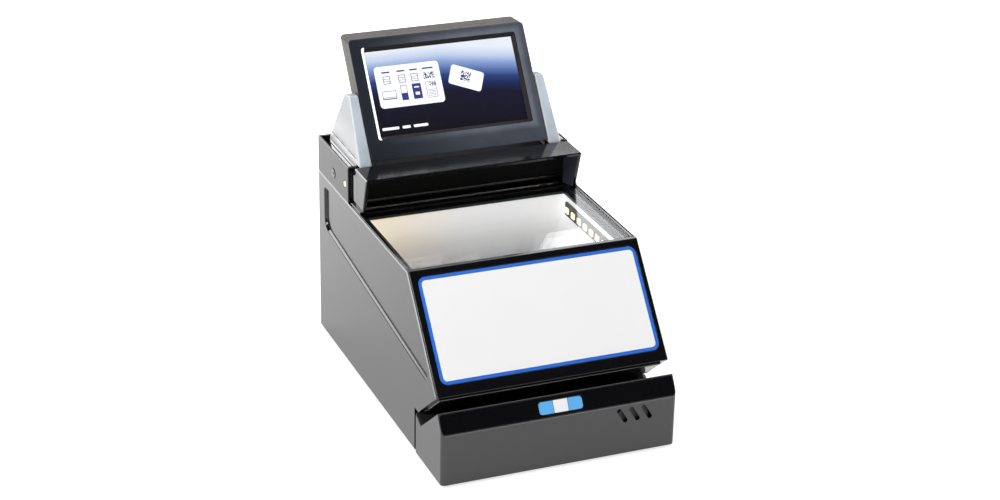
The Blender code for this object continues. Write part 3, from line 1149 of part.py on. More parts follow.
def cheek(name, side, root, material):
    """A translucent cheek with its ledge, and a bore for the display's pin."""
    near = DISPLAY_HALF + SIDE_PLAY
    far = near + CHEEK_THICKNESS
    outline = cheek_outline()
    rings = [[(side * near, depth, height) for depth, height in outline],
             [(side * (near + cheek_thickness(depth)), depth, height) for depth, height in outline]]
    item = soften(add_object(name, ringed(rings), root, material), CHEEK_EDGE)
    step, rear = REAR_COVER_FRONT + REAR_WALL + GAP, BODY_DEPTH - REAR_WALL - GAP
    deck = DECK_TOP + GAP
    ledge = rectangle(step, rear, deck, deck + CHEEK_FLANGE_HEIGHT)
    wide = sorted((side * (near + CHEEK_REAR_THICKNESS / 2), side * (far + CHEEK_FLANGE_WIDTH)))
    join(item, prism(f"{name}_ledge", ledge, "X", *wide, root))
    top = deck + CHEEK_FLANGE_HEIGHT
    floor = top - CHEEK_GROOVE_DEPTH
    middle = far + CHEEK_FLANGE_WIDTH / 2
    groove = rectangle(step - OVERRUN, rear + OVERRUN, floor, top + OVERRUN)
    sides = sorted((side * (middle - CHEEK_FLANGE_GROOVE / 2), side * (middle + CHEEK_FLANGE_GROOVE / 2)))
    cut(item, prism(f"{name}_groove", groove, "X", *sides, root))
    plan = []
    for depth, extra in ((step + OVERRUN, 0.0), (rear + OVERRUN, 0.0), (rear + OVERRUN, CHEEK_FLANGE_GROOVE),
                         (step + OVERRUN, CHEEK_FLANGE_GROOVE)):
        share = (depth - step) / (rear - step)
        out = near + cheek_thickness(depth) + CHEEK_GROOVE_GAP * (1 + share) + extra * share
        plan.append((side * out, depth))
    cut(item, prism(f"{name}_slanting_groove", plan, "Z", floor, top + OVERRUN, root))
    axis = (HINGE_DEPTH, HINGE_HEIGHT)
    ends = sorted((side * (near - OVERRUN), side * (near + PIN_LENGTH_IN_CHEEK + GAP)))
    cut(item, prism(f"{name}_bore", circle(PIN_RADIUS + PIN_PLAY, axis), "X", *ends, root))
    ends = sorted((side * (near - OVERRUN), side * (near + WASHER_THICKNESS + GAP)))
    cut(item, prism(f"{name}_seat", circle(WASHER_RADIUS + GAP, axis), "X", *ends, root))
    return sorted((side * near, side * (near + WASHER_THICKNESS)))


def washer(name, ring, root, material):
    """A friction washer in its seat, round the pin."""
    axis = (HINGE_DEPTH, HINGE_HEIGHT)
    item = prism(name, circle(WASHER_RADIUS, axis), "X", *ring, root, material)
    hole = circle(PIN_RADIUS + PIN_PLAY, axis)
    return cut(item, prism(f"{name}_hole", hole, "X", ring[0] - OVERRUN, ring[1] + OVERRUN, root))


def display_section(front, rear, margin=0.0):
    """The display from the right in its own frame, between two depths, less a margin at top and foot."""
    rise = DISPLAY_SKEW / DISPLAY_THICKNESS
    low, high = margin - HINGE_UP, DISPLAY_HEIGHT - margin - HINGE_UP
    corners = [(front, low + front * rise), (rear, low + rear * rise),
               (rear, high + rear * rise), (front, high + front * rise)]
    return [(depth - HINGE_IN, up) for depth, up in corners]


def display_slab(name, front, rear, pivot, material):
    """A part of the display's body between two depths, with rounded corners."""
    shape = pushed_outline(display_section(front, rear), "X", -DISPLAY_HALF, DISPLAY_HALF)
    corners = []
    for edge in shape.edges:
        move = edge.verts[1].co - edge.verts[0].co
        if abs(move.y) > abs(move.z) and abs(move.y) > abs(move.x):
            corners.append(edge)
    round_edges(shape, corners, DISPLAY_CORNER, CORNER_STEPS)
    return soften(add_object(name, shape, pivot, material), DISPLAY_EDGE)


def display_frame(pivot, material):
    """The display's front frame, with a window that widens towards the front."""
    frame = display_slab("display_bezel", 0.0, FRAME_DEPTH, pivot, material)
    half = DISPLAY_HALF - WINDOW_SIDE
    low, high = WINDOW_FOOT - HINGE_UP, DISPLAY_HEIGHT - WINDOW_TOP - HINGE_UP
    flare, steep = WINDOW_FLARE, WINDOW_FLARE / WINDOW_DEPTH
    outer = [rectangle(-half - OVERRUN * steep, half + OVERRUN * steep, low - OVERRUN * steep,
                       high + OVERRUN * steep),
             rectangle(flare - half, half - flare, low + flare, high - flare)]
    shape = stacked_outlines(outer, "Y", [-OVERRUN - HINGE_IN, WINDOW_DEPTH - HINGE_IN])
    cut(frame, add_object("window_flare", shape, pivot))
    pocket_half, pocket_low, pocket_high = window_bounds(COVER_GLASS_LAP + GAP)
    cut(frame, prism("screen_pocket", rectangle(-pocket_half, pocket_half, pocket_low, pocket_high), "Y",
                     WINDOW_DEPTH - HINGE_IN - GAP / 3, FRAME_DEPTH + OVERRUN - HINGE_IN, pivot))
    for side, name in ((-1, "left"), (1, "right")):
        cut_pin_room(frame, f"frame_{name}", side, pivot)
    return frame


def window_bounds(lap):
    """The window's clear opening, widened by a lap: half its width, then its low and high edges."""
    half = DISPLAY_HALF - WINDOW_SIDE - WINDOW_FLARE + lap
    low = WINDOW_FOOT + WINDOW_FLARE - HINGE_UP - lap
    high = DISPLAY_HEIGHT - WINDOW_TOP - WINDOW_FLARE - HINGE_UP + lap
    return half, low, high


def cut_pin_room(item, name, side, pivot):
    """Room for a hinge pin in one of the display's shells."""
    ends = sorted((side * (DISPLAY_HALF + OVERRUN), side * (DISPLAY_HALF - PIN_LENGTH_IN_DISPLAY - GAP)))
    cut(item, prism(f"{name}_pin_room", circle(PIN_RADIUS + GAP), "X", *ends, pivot))


def display_back(pivot, material):
    """The display's rear shell, with a boss at each side for the hinge pins."""
    front, rear = FRAME_DEPTH + GAP, DISPLAY_THICKNESS
    shell = display_slab("display_back", front, rear, pivot, material)
    inner = DISPLAY_HALF - DISPLAY_WALL
    cavity = display_section(front - OVERRUN, rear - DISPLAY_WALL, DISPLAY_WALL)
    cut(shell, prism("display_hollow", cavity, "X", -inner, inner, pivot))
    for side, name in ((-1, "left"), (1, "right")):
        reach = DISPLAY_HALF - PIN_LENGTH_IN_DISPLAY - GAP - DISPLAY_WALL
        ends = sorted((side * (DISPLAY_HALF - DISPLAY_WALL / 2), side * reach))
        low = front + GAP - HINGE_IN
        boss = rectangle(low, rear - DISPLAY_WALL / 2 - HINGE_IN, -PIN_BOSS_RADIUS, PIN_BOSS_RADIUS)
        join(shell, prism(f"pin_boss_{name}", boss, "X", *ends, pivot))
        cut_pin_room(shell, f"back_{name}", side, pivot)
    return shell


def display_inside(pivot, glass, black, green):
    """Cover glass, screen and driver board, one behind the other."""
    place = WINDOW_DEPTH - HINGE_IN
    half, low, high = window_bounds(COVER_GLASS_LAP)
    prism("display_glass", rectangle(-half, half, low, high), "Y", place, place + COVER_GLASS_THICKNESS,
          pivot, glass)
    place += COVER_GLASS_THICKNESS + GAP
    depth = FRAME_DEPTH - WINDOW_DEPTH - COVER_GLASS_THICKNESS - 2 * GAP
    prism("lcd_panel", rectangle(-half, half, low, high), "Y", place, place + min(depth, LCD_THICKNESS),
          pivot, black)
    place += min(depth, LCD_THICKNESS) + GAP
    keep = PIN_LENGTH_IN_DISPLAY + 2 * DISPLAY_WALL + GAP
    rise = DISPLAY_SKEW * (place + HINGE_IN + BOARD_THICKNESS) / DISPLAY_THICKNESS
    low, high = DISPLAY_WALL + rise - HINGE_UP, DISPLAY_HEIGHT - DISPLAY_WALL - HINGE_UP
    outline = rectangle(keep - DISPLAY_HALF, DISPLAY_HALF - keep, low + GAP, high)
    start = max(place, FRAME_DEPTH + GAP - HINGE_IN)
    prism("display_board", outline, "Y", start, start + BOARD_THICKNESS, pivot, green)


def hinge_pin(name, side, pivot, material):
    """A pin that joins the display to a cheek."""
    start, end = DISPLAY_HALF - PIN_LENGTH_IN_DISPLAY, DISPLAY_HALF + SIDE_PLAY + PIN_LENGTH_IN_CHEEK
    profile = [(PIN_RADIUS, side * start), (PIN_RADIUS, side * (end - SOFT_EDGE)),
               (PIN_RADIUS - SOFT_EDGE, side * end)]
    return turned(name, profile, "X", (0.0, 0.0), pivot, material)


def build():
    """The whole reader."""
    clear_scene()
    gloss = finish("glossy black plastic", (0.020, 0.020, 0.022), 0.22)
    satin = finish("satin dark grey plastic", (0.055, 0.055, 0.060), 0.38)
    dull = finish("dull black plastic", (0.010, 0.010, 0.011), 0.60)
    frosted = finish("frosted clear plastic", (0.80, 0.83, 0.86), 0.35)
    white = finish("white diffuser", (0.90, 0.90, 0.90), 0.50)
    blue = finish("blue surround", (0.02, 0.16, 0.75), 0.40)
    pale_blue = finish("pale blue light guide", (0.20, 0.55, 0.95), 0.30)
    amber = finish("amber lens", (0.90, 0.62, 0.20), 0.25)
    glass = finish("glass", (0.70, 0.74, 0.78), 0.03)
    screen = finish("screen", (0.02, 0.03, 0.09), 0.10)
    board = finish("circuit board", (0.02, 0.16, 0.07), 0.50)
    steel = finish("steel", (0.55, 0.56, 0.58), 0.30, 1.0)
    rubber = finish("black rubber", (0.02, 0.02, 0.02), 0.85)

    root = add_empty("passport_reader", depth=-BODY_DEPTH / 2, height=FOOT_PROUD)
    block_top = add_empty("block_top", root, 0.0, BLOCK_FACE_HEIGHT, BLOCK_TOP_ANGLE)
    slope = add_empty("front_slope", root, SLOPE_FOOT_DEPTH, SLOPE_FOOT_HEIGHT, SLOPE_ANGLE)
    slot = add_empty("swipe_slot", root, BLOCK_JOINT_DEPTH, SLOT_REAR_HEIGHT, SLOT_ANGLE)
    pivot = add_empty("display_pivot", root, HINGE_DEPTH, HINGE_HEIGHT, -LEAN)

    base_plate(root, dull)
    feet(root, rubber)
    base_screws(root, steel)
    side_panel("left_side_panel", -1, root, gloss)
    side_panel("right_side_panel", 1, root, gloss)
    rear_panel(root, dull)
    for name, place in zip(("rear_screw_left", "rear_screw_right"), rear_screw_places()):
        screw(name, place, root, steel, "Y", REAR_PANEL_REAR + SCREW_HEAD_HEIGHT + GAP, -1)

    front_block(root, block_top, slot, satin)
    block_inlay(block_top, gloss)
    status_lights(block_top, (pale_blue, white))
    status_board(block_top, board)
    speaker(root, dull)

    front_bezel(root, slope, gloss)
    front_sheet(slope, blue, white)
    slot_wall(slot, gloss, glass, dull)

    document_frame(root, gloss)
    document_glass(root, glass, rubber)
    imaging_parts(root, board, white, dull, glass, board)
    hood(root, gloss)
    hood_carrier(root, dull)
    rear_cover(root, gloss)
    button_group(root, satin, amber, board, dull)
    main_board(root, board, steel, dull)

    for side, name in ((-1, "left"), (1, "right")):
        seat = cheek(f"{name}_cheek", side, root, frosted)
        washer(f"friction_washer_{name}", seat, root, dull)
        hinge_pin(f"hinge_pin_{name}", side, pivot, steel)
    display_frame(pivot, satin)
    display_inside(pivot, glass, screen, board)
    display_back(pivot, satin)


build()
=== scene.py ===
"""The looks of a counter-top passport reader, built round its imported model."""

import json
from math import acos, atan2, cos, hypot, pi, radians, sin, tan

import bmesh
import bpy
from mathutils import Matrix, Vector


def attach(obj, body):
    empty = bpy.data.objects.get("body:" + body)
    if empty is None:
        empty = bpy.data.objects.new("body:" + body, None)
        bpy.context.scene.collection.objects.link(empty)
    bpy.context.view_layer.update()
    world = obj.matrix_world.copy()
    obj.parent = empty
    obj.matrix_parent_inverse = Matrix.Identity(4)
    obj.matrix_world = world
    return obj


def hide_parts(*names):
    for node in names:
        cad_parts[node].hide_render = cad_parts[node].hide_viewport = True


# Sizes, in metres, in the assembly's frame: X right, Y from the front face to the rear, Z from the underside
GAP = 0.0003
OVERRUN = 0.0020
HALF = 0.0697
DEPTH = 0.2152
SEAM = 0.1034
FOOT_PROUD = 0.0012
PANEL_INNER = 0.0667
PANEL_EDGE = 0.0009
EDGE_SEAT = 0.0685
SLOPE_FOOT = (0.0115, 0.0481)
SLOPE_TOP = 0.0580
BLOCK_JOINT = 0.0410
SLOT_REAR = 0.0248
BLOCK_HALF = 0.0703
BLOCK_FACE = 0.0305
BLOCK_WALL = 0.0022
RIDGE = (0.0068, 0.0415)
SLOT_FLOOR = (0.0330, 0.0208)
BASE = 0.0025
INLAY = 0.0012
BEZEL = 0.0032
BEZEL_REAR = 0.0608
COVER_FRONT = 0.1583
COVER_TOP = 0.1263
COVER_WALL = 0.0025
COVER_RIM = 0.0012
DECK_TOP = 0.1223
HOOD_TOP = 0.1279
HOOD_FRONT = 0.1322
HOOD_HALF = 0.0673
NECK_FRONT = 0.1515
HOOD_STOP = 0.1479
FRAME_UNDER = 0.0987
DISPLAY_HALF = 0.0555
DISPLAY_HEIGHT = 0.0745
DISPLAY_THICKNESS = 0.0137
DISPLAY_RISE = 0.0083 / DISPLAY_THICKNESS
DISPLAY_FOOT = (0.1561, 0.1287)
HINGE_UP = 0.0210
HINGE_IN = 0.0092
FRAME_DEPTH = 0.0055
WINDOW_DEPTH = 0.0022
WINDOW_FLARE = 0.0021
WINDOW_HALF = DISPLAY_HALF - 0.0070
WINDOW_FOOT = 0.0129 - HINGE_UP
WINDOW_TOP = DISPLAY_HEIGHT - 0.0058 - HINGE_UP
APERTURE_HALF = 0.0638
APERTURE_FRONT = 0.0635
APERTURE_REAR = 0.1475
LEDGE_TOP = 0.1005
FLANK_LINE = 0.1299
LEAN = radians(35.2)
HINGE = (DISPLAY_FOOT[0] + HINGE_UP * sin(LEAN) + HINGE_IN * cos(LEAN),
         DISPLAY_FOOT[1] + HINGE_UP * cos(LEAN) - HINGE_IN * sin(LEAN))
BUTTON = (0.1852, 0.1130)
INDICATOR = (0.1640, 0.1144)
BUTTON_RADIUS = 0.0029
FRAME_RIM = 0.0020
SHEET_SIDE_MARGIN = 0.0030
SHEET_FOOT_MARGIN = 0.0067
SHEET_TOP_MARGIN = 0.0042
SHEET_OFFSET = 0.0009
SHEET_CORNER = 0.0042
SHEET_THICKNESS = 0.0014
SURROUND_WIDTH = 0.0016
HOOD_PLATE = 0.0020
DECK_THICKNESS = 0.0022
CHEEK_RISE = 0.0344
CHEEK_THICKNESS = 0.0078
SIDE_PLAY = 0.0004
DISPLAY_CORNER = 0.0026
DISPLAY_WALL = 0.0018
COVER_GLASS = 0.0008
GLASS_LAP = 0.0015
PIN_HOLE = 0.0025
FINE_GRAIN = 0.00001
SMOOTH_BELOW = radians(32)

SLOPE_ANGLE = atan2(SEAM - SLOPE_FOOT[1], SLOPE_TOP - SLOPE_FOOT[0])
SLOPE_LENGTH = hypot(SEAM - SLOPE_FOOT[1], SLOPE_TOP - SLOPE_FOOT[0])
BLOCK_TOP_ANGLE = atan2(RIDGE[1] - BLOCK_FACE, RIDGE[0])
BLOCK_TOP_LENGTH = hypot(RIDGE[1] - BLOCK_FACE, RIDGE[0])
SLOT_ANGLE = atan2(SLOPE_FOOT[1] - SLOT_REAR, SLOPE_FOOT[0] - BLOCK_JOINT)


def carrier(depth=0.0, height=0.0, turn=0.0):
    """The place of a group of pieces in the assembly's own frame."""
    move = Matrix.Translation((0.0, depth - DEPTH / 2, height + FOOT_PROUD))
    return move @ Matrix.Rotation(turn, 4, "X")


WHOLE = carrier()
BLOCK_TOP = carrier(0.0, BLOCK_FACE, BLOCK_TOP_ANGLE)
SLOPE = carrier(*SLOPE_FOOT, SLOPE_ANGLE)
SLOT = carrier(BLOCK_JOINT, SLOT_REAR, SLOT_ANGLE)
PIVOT = carrier(*HINGE, -LEAN)


# Shader maths

class Signal:
    """A socket that shader maths can be written with."""

    def __init__(self, net, socket):
        self.net = net
        self.socket = socket

    def maths(self, operation, first, second=None):
        values = {0: first} if second is None else {0: first, 1: second}
        return self.net.node("ShaderNodeMath", {"operation": operation}, values)

    def __add__(self, other):
        return self.maths("ADD", self, other)

    def __radd__(self, other):
        return self.maths("ADD", other, self)

    def __sub__(self, other):
        return self.maths("SUBTRACT", self, other)

    def __rsub__(self, other):
        return self.maths("SUBTRACT", other, self)

    def __mul__(self, other):
        return self.maths("MULTIPLY", self, other)

    def __truediv__(self, other):
        return self.maths("DIVIDE", self, other)

    def __pow__(self, other):
        return self.maths("POWER", self, other)

    def at_least(self, other):
        return self.maths("MAXIMUM", self, other)

    def size(self):
        return self.maths("ABSOLUTE", self)

    def ramp(self, low, high):
        """0 below low, 1 above high, smooth between."""
        settings = {"interpolation_type": "SMOOTHSTEP"}
        return self.net.node("ShaderNodeMapRange", settings, {0: self, 1: low, 2: high})


class Finish:
    """One material's node tree."""

    def __init__(self, name, **sockets):
        self.material = bpy.data.materials.new(name)
        self.material.use_nodes = True
        self.tree = self.material.node_tree
        self.shader = self.tree.nodes["Principled BSDF"]
        self.set(**sockets)

    def node(self, kind, settings=None, values=None, output=0):
        """Any node: its settings first, then the values or links of its sockets."""
        made = self.tree.nodes.new(kind)
        for name, value in (settings or {}).items():
            if name == "stops":
                ramp = made.color_ramp
                while len(ramp.elements) < len(value):
                    ramp.elements.new(1.0)
                for element, (place, colour) in zip(ramp.elements, value):
                    element.position = place
                    element.color = (*colour, 1.0)
            else:
                setattr(made, name, value)
        for name, value in (values or {}).items():
            self.feed(made.inputs[name], value)
        return Signal(self, made.outputs[output])

    def feed(self, socket, value):
        if isinstance(value, Signal):
            self.tree.links.new(value.socket, socket)
        elif isinstance(value, tuple) and len(value) == 3 and len(socket.default_value) == 4:
            socket.default_value = (*value, 1.0)
        else:
            socket.default_value = value

    def set(self, **sockets):
        """The shader's own sockets, by name with underscores for spaces."""
        for name, value in sockets.items():
            self.feed(self.shader.inputs[name.replace("_", " ")], value)

    def place(self):
        """Where a point lies on the object, in metres."""
        return self.node("ShaderNodeTexCoord", output=3)

    def part(self, axis):
        """One coordinate of that place."""
        return self.node("ShaderNodeSeparateXYZ", values={0: self.place()}, output="XYZ".index(axis))

    def noise(self, scale, detail=2.0, rough=0.5, stretch=None):
        place = self.place()
        if stretch:
            place = self.node("ShaderNodeVectorMath", {"operation": "MULTIPLY"}, {0: place, 1: stretch})
        return self.node("ShaderNodeTexNoise", {}, {"Vector": place, "Scale": scale, "Detail": detail,
                                                    "Roughness": rough})

    def mix(self, share, first, second):
        """Between two colours."""
        return self.node("ShaderNodeMix", {"data_type": "RGBA"}, {0: share, 6: first, 7: second}, output=2)

    def bump(self, height, distance):
        """Relief on the surface; distance in metres."""
        relief = self.node("ShaderNodeBump", {}, {"Height": height, "Distance": distance, "Strength": 1.0})
        self.set(Normal=relief)


def moulded(name, colour, roughness, grain=0.00002, spread=0.05, uneven=0.12, **sockets):
    """Moulded plastic: a fine grain, slightly uneven gloss and a little unevenness of colour."""
    finish = Finish(name, **sockets)
    cloud = finish.noise(38.0, 3.0)
    finish.set(Base_Color=finish.mix(cloud, tuple(value * (1 - uneven) for value in colour),
                                     tuple(value * (1 + uneven) for value in colour)))
    finish.set(Roughness=roughness - spread / 2 + cloud * spread)
    finish.bump(finish.noise(2600.0), grain)
    return finish.material


# Outlines

def unit(first, second):
    """A plane direction of length one."""
    length = hypot(first, second)
    return (first / length, second / length)


def rectangle(low_a, high_a, low_b, high_b):
    """The four corners of a rectangle."""
    return [(low_a, low_b), (high_a, low_b), (high_a, high_b), (low_a, high_b)]


def circle(radius, centre=(0.0, 0.0), sides=48):
    """A round outline."""
    turns = [2 * pi * side / sides for side in range(sides)]
    return [(centre[0] + radius * cos(turn), centre[1] + radius * sin(turn)) for turn in turns]


def filleted(corners, radii, steps=8):
    """An outline with each corner rounded to its own radius; a radius of 0 leaves the corner."""
    rounded = []
    for index, (corner, radius) in enumerate(zip(corners, radii)):
        if radius == 0:
            rounded.append(corner)
            continue
        before, after = corners[index - 1], corners[(index + 1) % len(corners)]
        to_before = unit(before[0] - corner[0], before[1] - corner[1])
        to_after = unit(after[0] - corner[0], after[1] - corner[1])
        half_bend = acos(to_before[0] * to_after[0] + to_before[1] * to_after[1]) / 2
        reach = radius / tan(half_bend)
        middle = unit(to_before[0] + to_after[0], to_before[1] + to_after[1])
        centre = [corner[axis] + middle[axis] * radius / sin(half_bend) for axis in (0, 1)]
        start = [corner[axis] + to_before[axis] * reach - centre[axis] for axis in (0, 1)]
        end = [corner[axis] + to_after[axis] * reach - centre[axis] for axis in (0, 1)]
        first = atan2(start[1], start[0])
        sweep = (atan2(end[1], end[0]) - first + pi) % (2 * pi) - pi
        for step in range(steps + 1):
            angle = first + sweep * step / steps
            rounded.append((centre[0] + radius * cos(angle), centre[1] + radius * sin(angle)))
    return rounded


def inset(corners, distances):
    """An outline, listed anticlockwise, with each side moved inwards by its own distance."""
    lines = []
    for index, distance in enumerate(distances):
        start, end = corners[index], corners[(index + 1) % len(corners)]
        along = unit(end[0] - start[0], end[1] - start[1])
        lines.append(((start[0] - along[1] * distance, start[1] + along[0] * distance), along))
    moved = []
    for index in range(len(corners)):
        (point_a, along_a), (point_b, along_b) = lines[index - 1], lines[index]
        cross = along_a[0] * along_b[1] - along_a[1] * along_b[0]
        reach = ((point_b[0] - point_a[0]) * along_b[1] - (point_b[1] - point_a[1]) * along_b[0]) / cross
        moved.append((point_a[0] + along_a[0] * reach, point_a[1] + along_a[1] * reach))
    return moved


def slanted(outline, middle, lean):
    """An outline turned by a lean and set round a middle."""
    return [(middle[0] + across * cos(lean) - up * sin(lean),
             middle[1] + across * sin(lean) + up * cos(lean)) for across, up in outline]


def span(side, first, second):
    """Two places along X on one side of the middle, the lower one first."""
    return sorted((side * first, side * second))


# Solids

def point_on(axis, along, first, second):
    """A point from its place along one axis and on the other two, in X, Y, Z order."""
    return {"X": (along, first, second), "Y": (first, along, second), "Z": (first, second, along)}[axis]


def ringed(rings):
    """A bmesh solid through rings of points."""
    shape = bmesh.new()
    loops = [[shape.verts.new(point) for point in ring] for ring in rings]
    for lower, upper in zip(loops, loops[1:]):
        for index in range(len(lower)):
            after = (index + 1) % len(lower)
            shape.faces.new([lower[index], lower[after], upper[after], upper[index]])
    shape.faces.new(loops[0])
    shape.faces.new(list(reversed(loops[-1])))
    return shape


def pushed(outline, axis, low, high):
    """An outline pushed from low to high along an axis."""
    return ringed([[point_on(axis, place, *corner) for corner in outline] for place in (low, high)])


def block(low, high):
    """A box between two corners."""
    return pushed(rectangle(low[0], high[0], low[1], high[1]), "Z", low[2], high[2])


def layered(corners, radii, layers, axis, steps=8, rise=0.0):
    """A solid through one outline that is drawn in by a margin at each place along an axis."""
    rings = []
    for place, margin in layers:
        drawn = inset(corners, [margin] * len(corners))
        outline = filleted(drawn, [max(radius - margin, GAP / 10) for radius in radii], steps)
        rings.append([point_on(axis, place, first, second + rise * place) for first, second in outline])
    return ringed(rings)


def rounding(face, radius, way, steps=4):
    """Layers round an edge, from the side wall to a face; way is +1 where the face is at the high end."""
    turns = [pi / 2 * step / steps for step in range(steps + 1)]
    return [(face - way * radius * (1 - sin(turn)), radius * (1 - cos(turn))) for turn in turns]


def pillow(low, high, radius, steps=4):
    """Layers of a solid with both its ends rounded."""
    return rounding(low, radius, -1, steps)[::-1] + rounding(high, radius, 1, steps)


def mouth(floor, face, radius):
    """Layers of a cutter whose hole has a rounded lip."""
    lip = [(place, -margin) for place, margin in rounding(face, radius, 1)]
    return [(floor, 0.0), *lip, (face + OVERRUN, -radius)]


def turned(profile, centre):
    """A round solid along X: (radius, place along it) pairs."""
    return ringed([[point_on("X", place, *corner) for corner in circle(radius, centre)]
                   for radius, place in profile])


def round_edges(shape, edges, radius, steps=6):
    """Round some edges of a solid."""
    bmesh.ops.bevel(shape, geom=edges, offset=radius, segments=steps, affect="EDGES", profile=0.5)


def as_object(name, shape, material):
    bmesh.ops.recalc_face_normals(shape, faces=shape.faces)
    mesh = bpy.data.meshes.new(name)
    shape.to_mesh(mesh)
    shape.free()
    mesh.materials.append(material)
    item = bpy.data.objects.new(name, mesh)
    bpy.context.scene.collection.objects.link(item)
    return item


class Piece:
    """A piece in the making: a solid, what is joined to it and what is cut out of it."""

    def __init__(self, name, shape, material):
        self.item = as_object(name, shape, material)
        self.material = material
        self.tools = []

    def soften(self, width=0.0005, steps=3, angle=35):
        bevel = self.item.modifiers.new("soft edges", "BEVEL")
        bevel.width = width
        bevel.segments = steps
        bevel.limit_method = "ANGLE"
        bevel.angle_limit = radians(angle)
        return self

    def change(self, operation, shape, material, second=None):
        tool = as_object(f"tool_{len(self.tools)}", shape, material or self.material)
        if second:
            tool.data.materials.append(second)
        step = self.item.modifiers.new(operation, "BOOLEAN")
        step.operation = operation
        step.object = tool
        step.material_mode = "TRANSFER"
        self.tools.append(tool)

    def cut(self, shape, material=None, second=None):
        self.change("DIFFERENCE", shape, material, second)

    def join(self, shape, material=None):
        self.change("UNION", shape, material)

    def done(self, place, slot, *nodes, body="casing"):
        """Work out the mesh, put it in its place and let it ride on its body."""
        merge = 0.000002
        view = bpy.context.evaluated_depsgraph_get()
        mesh = bpy.data.meshes.new_from_object(self.item.evaluated_get(view), depsgraph=view)
        for tool in self.tools:
            bpy.data.objects.remove(tool, do_unlink=True)
        self.item.modifiers.clear()
        self.item.data = mesh
        shape = bmesh.new()
        shape.from_mesh(mesh)
        bmesh.ops.remove_doubles(shape, verts=shape.verts, dist=merge)
        bmesh.ops.dissolve_degenerate(shape, edges=shape.edges, dist=merge)
        shape.transform(place)
        shape.to_mesh(mesh)
        shape.free()
        mesh.shade_smooth()
        mesh.set_sharp_from_angle(angle=SMOOTH_BELOW)
        even = self.item.modifiers.new("even shading", "WEIGHTED_NORMAL")
        even.keep_sharp = True
        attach(self.item, body)
        if nodes:
            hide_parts(*nodes)
        return self.item


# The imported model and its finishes
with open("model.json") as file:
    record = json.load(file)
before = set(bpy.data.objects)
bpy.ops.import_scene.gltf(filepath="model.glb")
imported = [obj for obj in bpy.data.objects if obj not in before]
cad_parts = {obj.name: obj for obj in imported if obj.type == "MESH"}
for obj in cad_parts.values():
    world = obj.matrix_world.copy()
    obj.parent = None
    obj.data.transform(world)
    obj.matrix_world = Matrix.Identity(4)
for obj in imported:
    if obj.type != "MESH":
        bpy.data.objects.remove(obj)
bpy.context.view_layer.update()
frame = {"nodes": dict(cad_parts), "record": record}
nodes = frame["nodes"]

gloss = moulded("gloss_black_moulding", (0.004, 0.004, 0.005), 0.14, FINE_GRAIN)
dark_gloss = moulded("hood_black_moulding", (0.003, 0.003, 0.004), 0.13, FINE_GRAIN)
satin = moulded("satin_grey_moulding", (0.038, 0.038, 0.040), 0.27, FINE_GRAIN, spread=0.02, uneven=0.03)
dull = moulded("dull_black_moulding", (0.008, 0.008, 0.009), 0.55, 0.00005)
# Painted shade: near-black and hardly glossy, for the walls of slits, grooves, holes and hollows that lie in
# shade
shade = moulded("painted_shade_black", (0.003, 0.003, 0.003), 0.85, 0.00003, Specular_IOR_Level=0.1)
# Painted reflection: the dull black hood carrier coloured mid grey, standing in for the floor mirrored in it
neck_painted_reflection = moulded("neck_grey_painted_reflection", (0.380, 0.380, 0.390), 0.50, 0.00004)
ledge_clear = moulded("frosted_clear_ledge", (0.74, 0.74, 0.75), 0.16, uneven=0.25)
rim_gloss = moulded("glass_rim_gloss", (0.006, 0.006, 0.007), 0.12, 0.000003, Specular_IOR_Level=0.8)
white = moulded("white_diffuser_sheet", (0.90, 0.90, 0.90), 0.45, uneven=0.015)
blue = moulded("blue_surround_gloss", (0.02, 0.16, 0.75), 0.35)
pale_blue = moulded("pale_blue_light_guide", (0.13, 0.46, 0.90), 0.30)
amber = moulded("amber_lens_moulding", (0.95, 0.80, 0.42), 0.25, uneven=0.04,
                Emission_Color=(1.0, 0.82, 0.42), Emission_Strength=0.20)
board = moulded("dark_circuit_board", (0.010, 0.030, 0.022), 0.45)
rubber = moulded("black_rubber_foot", (0.015, 0.015, 0.015), 0.80, 0.0000001)
deck_black = moulded("deck_black_moulding", (0.005, 0.005, 0.005), 0.60, Specular_IOR_Level=0.12)
# Painted reflection: the hood mouth's side walls coloured a lighter bluish grey
mouth_side_painted_reflection = moulded("hood_mouth_side", (0.050, 0.055, 0.078), 0.40, FINE_GRAIN)
steel = moulded("bright_plain_steel", (0.55, 0.56, 0.58), 0.30, Metallic=1.0)
cover_gloss = moulded("cover_gloss_moulding", (0.004, 0.004, 0.005), 0.15, FINE_GRAIN,
                      Specular_IOR_Level=0.23)


def polished_glass():
    """Clear glass: a mirror as strong as glass gives at each slant, see-through for the rest."""
    finish = Finish("clear_polished_glass", Base_Color=(0.50, 0.51, 0.52), Metallic=1.0, Roughness=0.02)
    slant = finish.node("ShaderNodeLayerWeight", values={0: 0.5}, output=1)
    finish.set(Alpha=slant ** 5.0 * 0.93 + 0.065)
    return finish.material


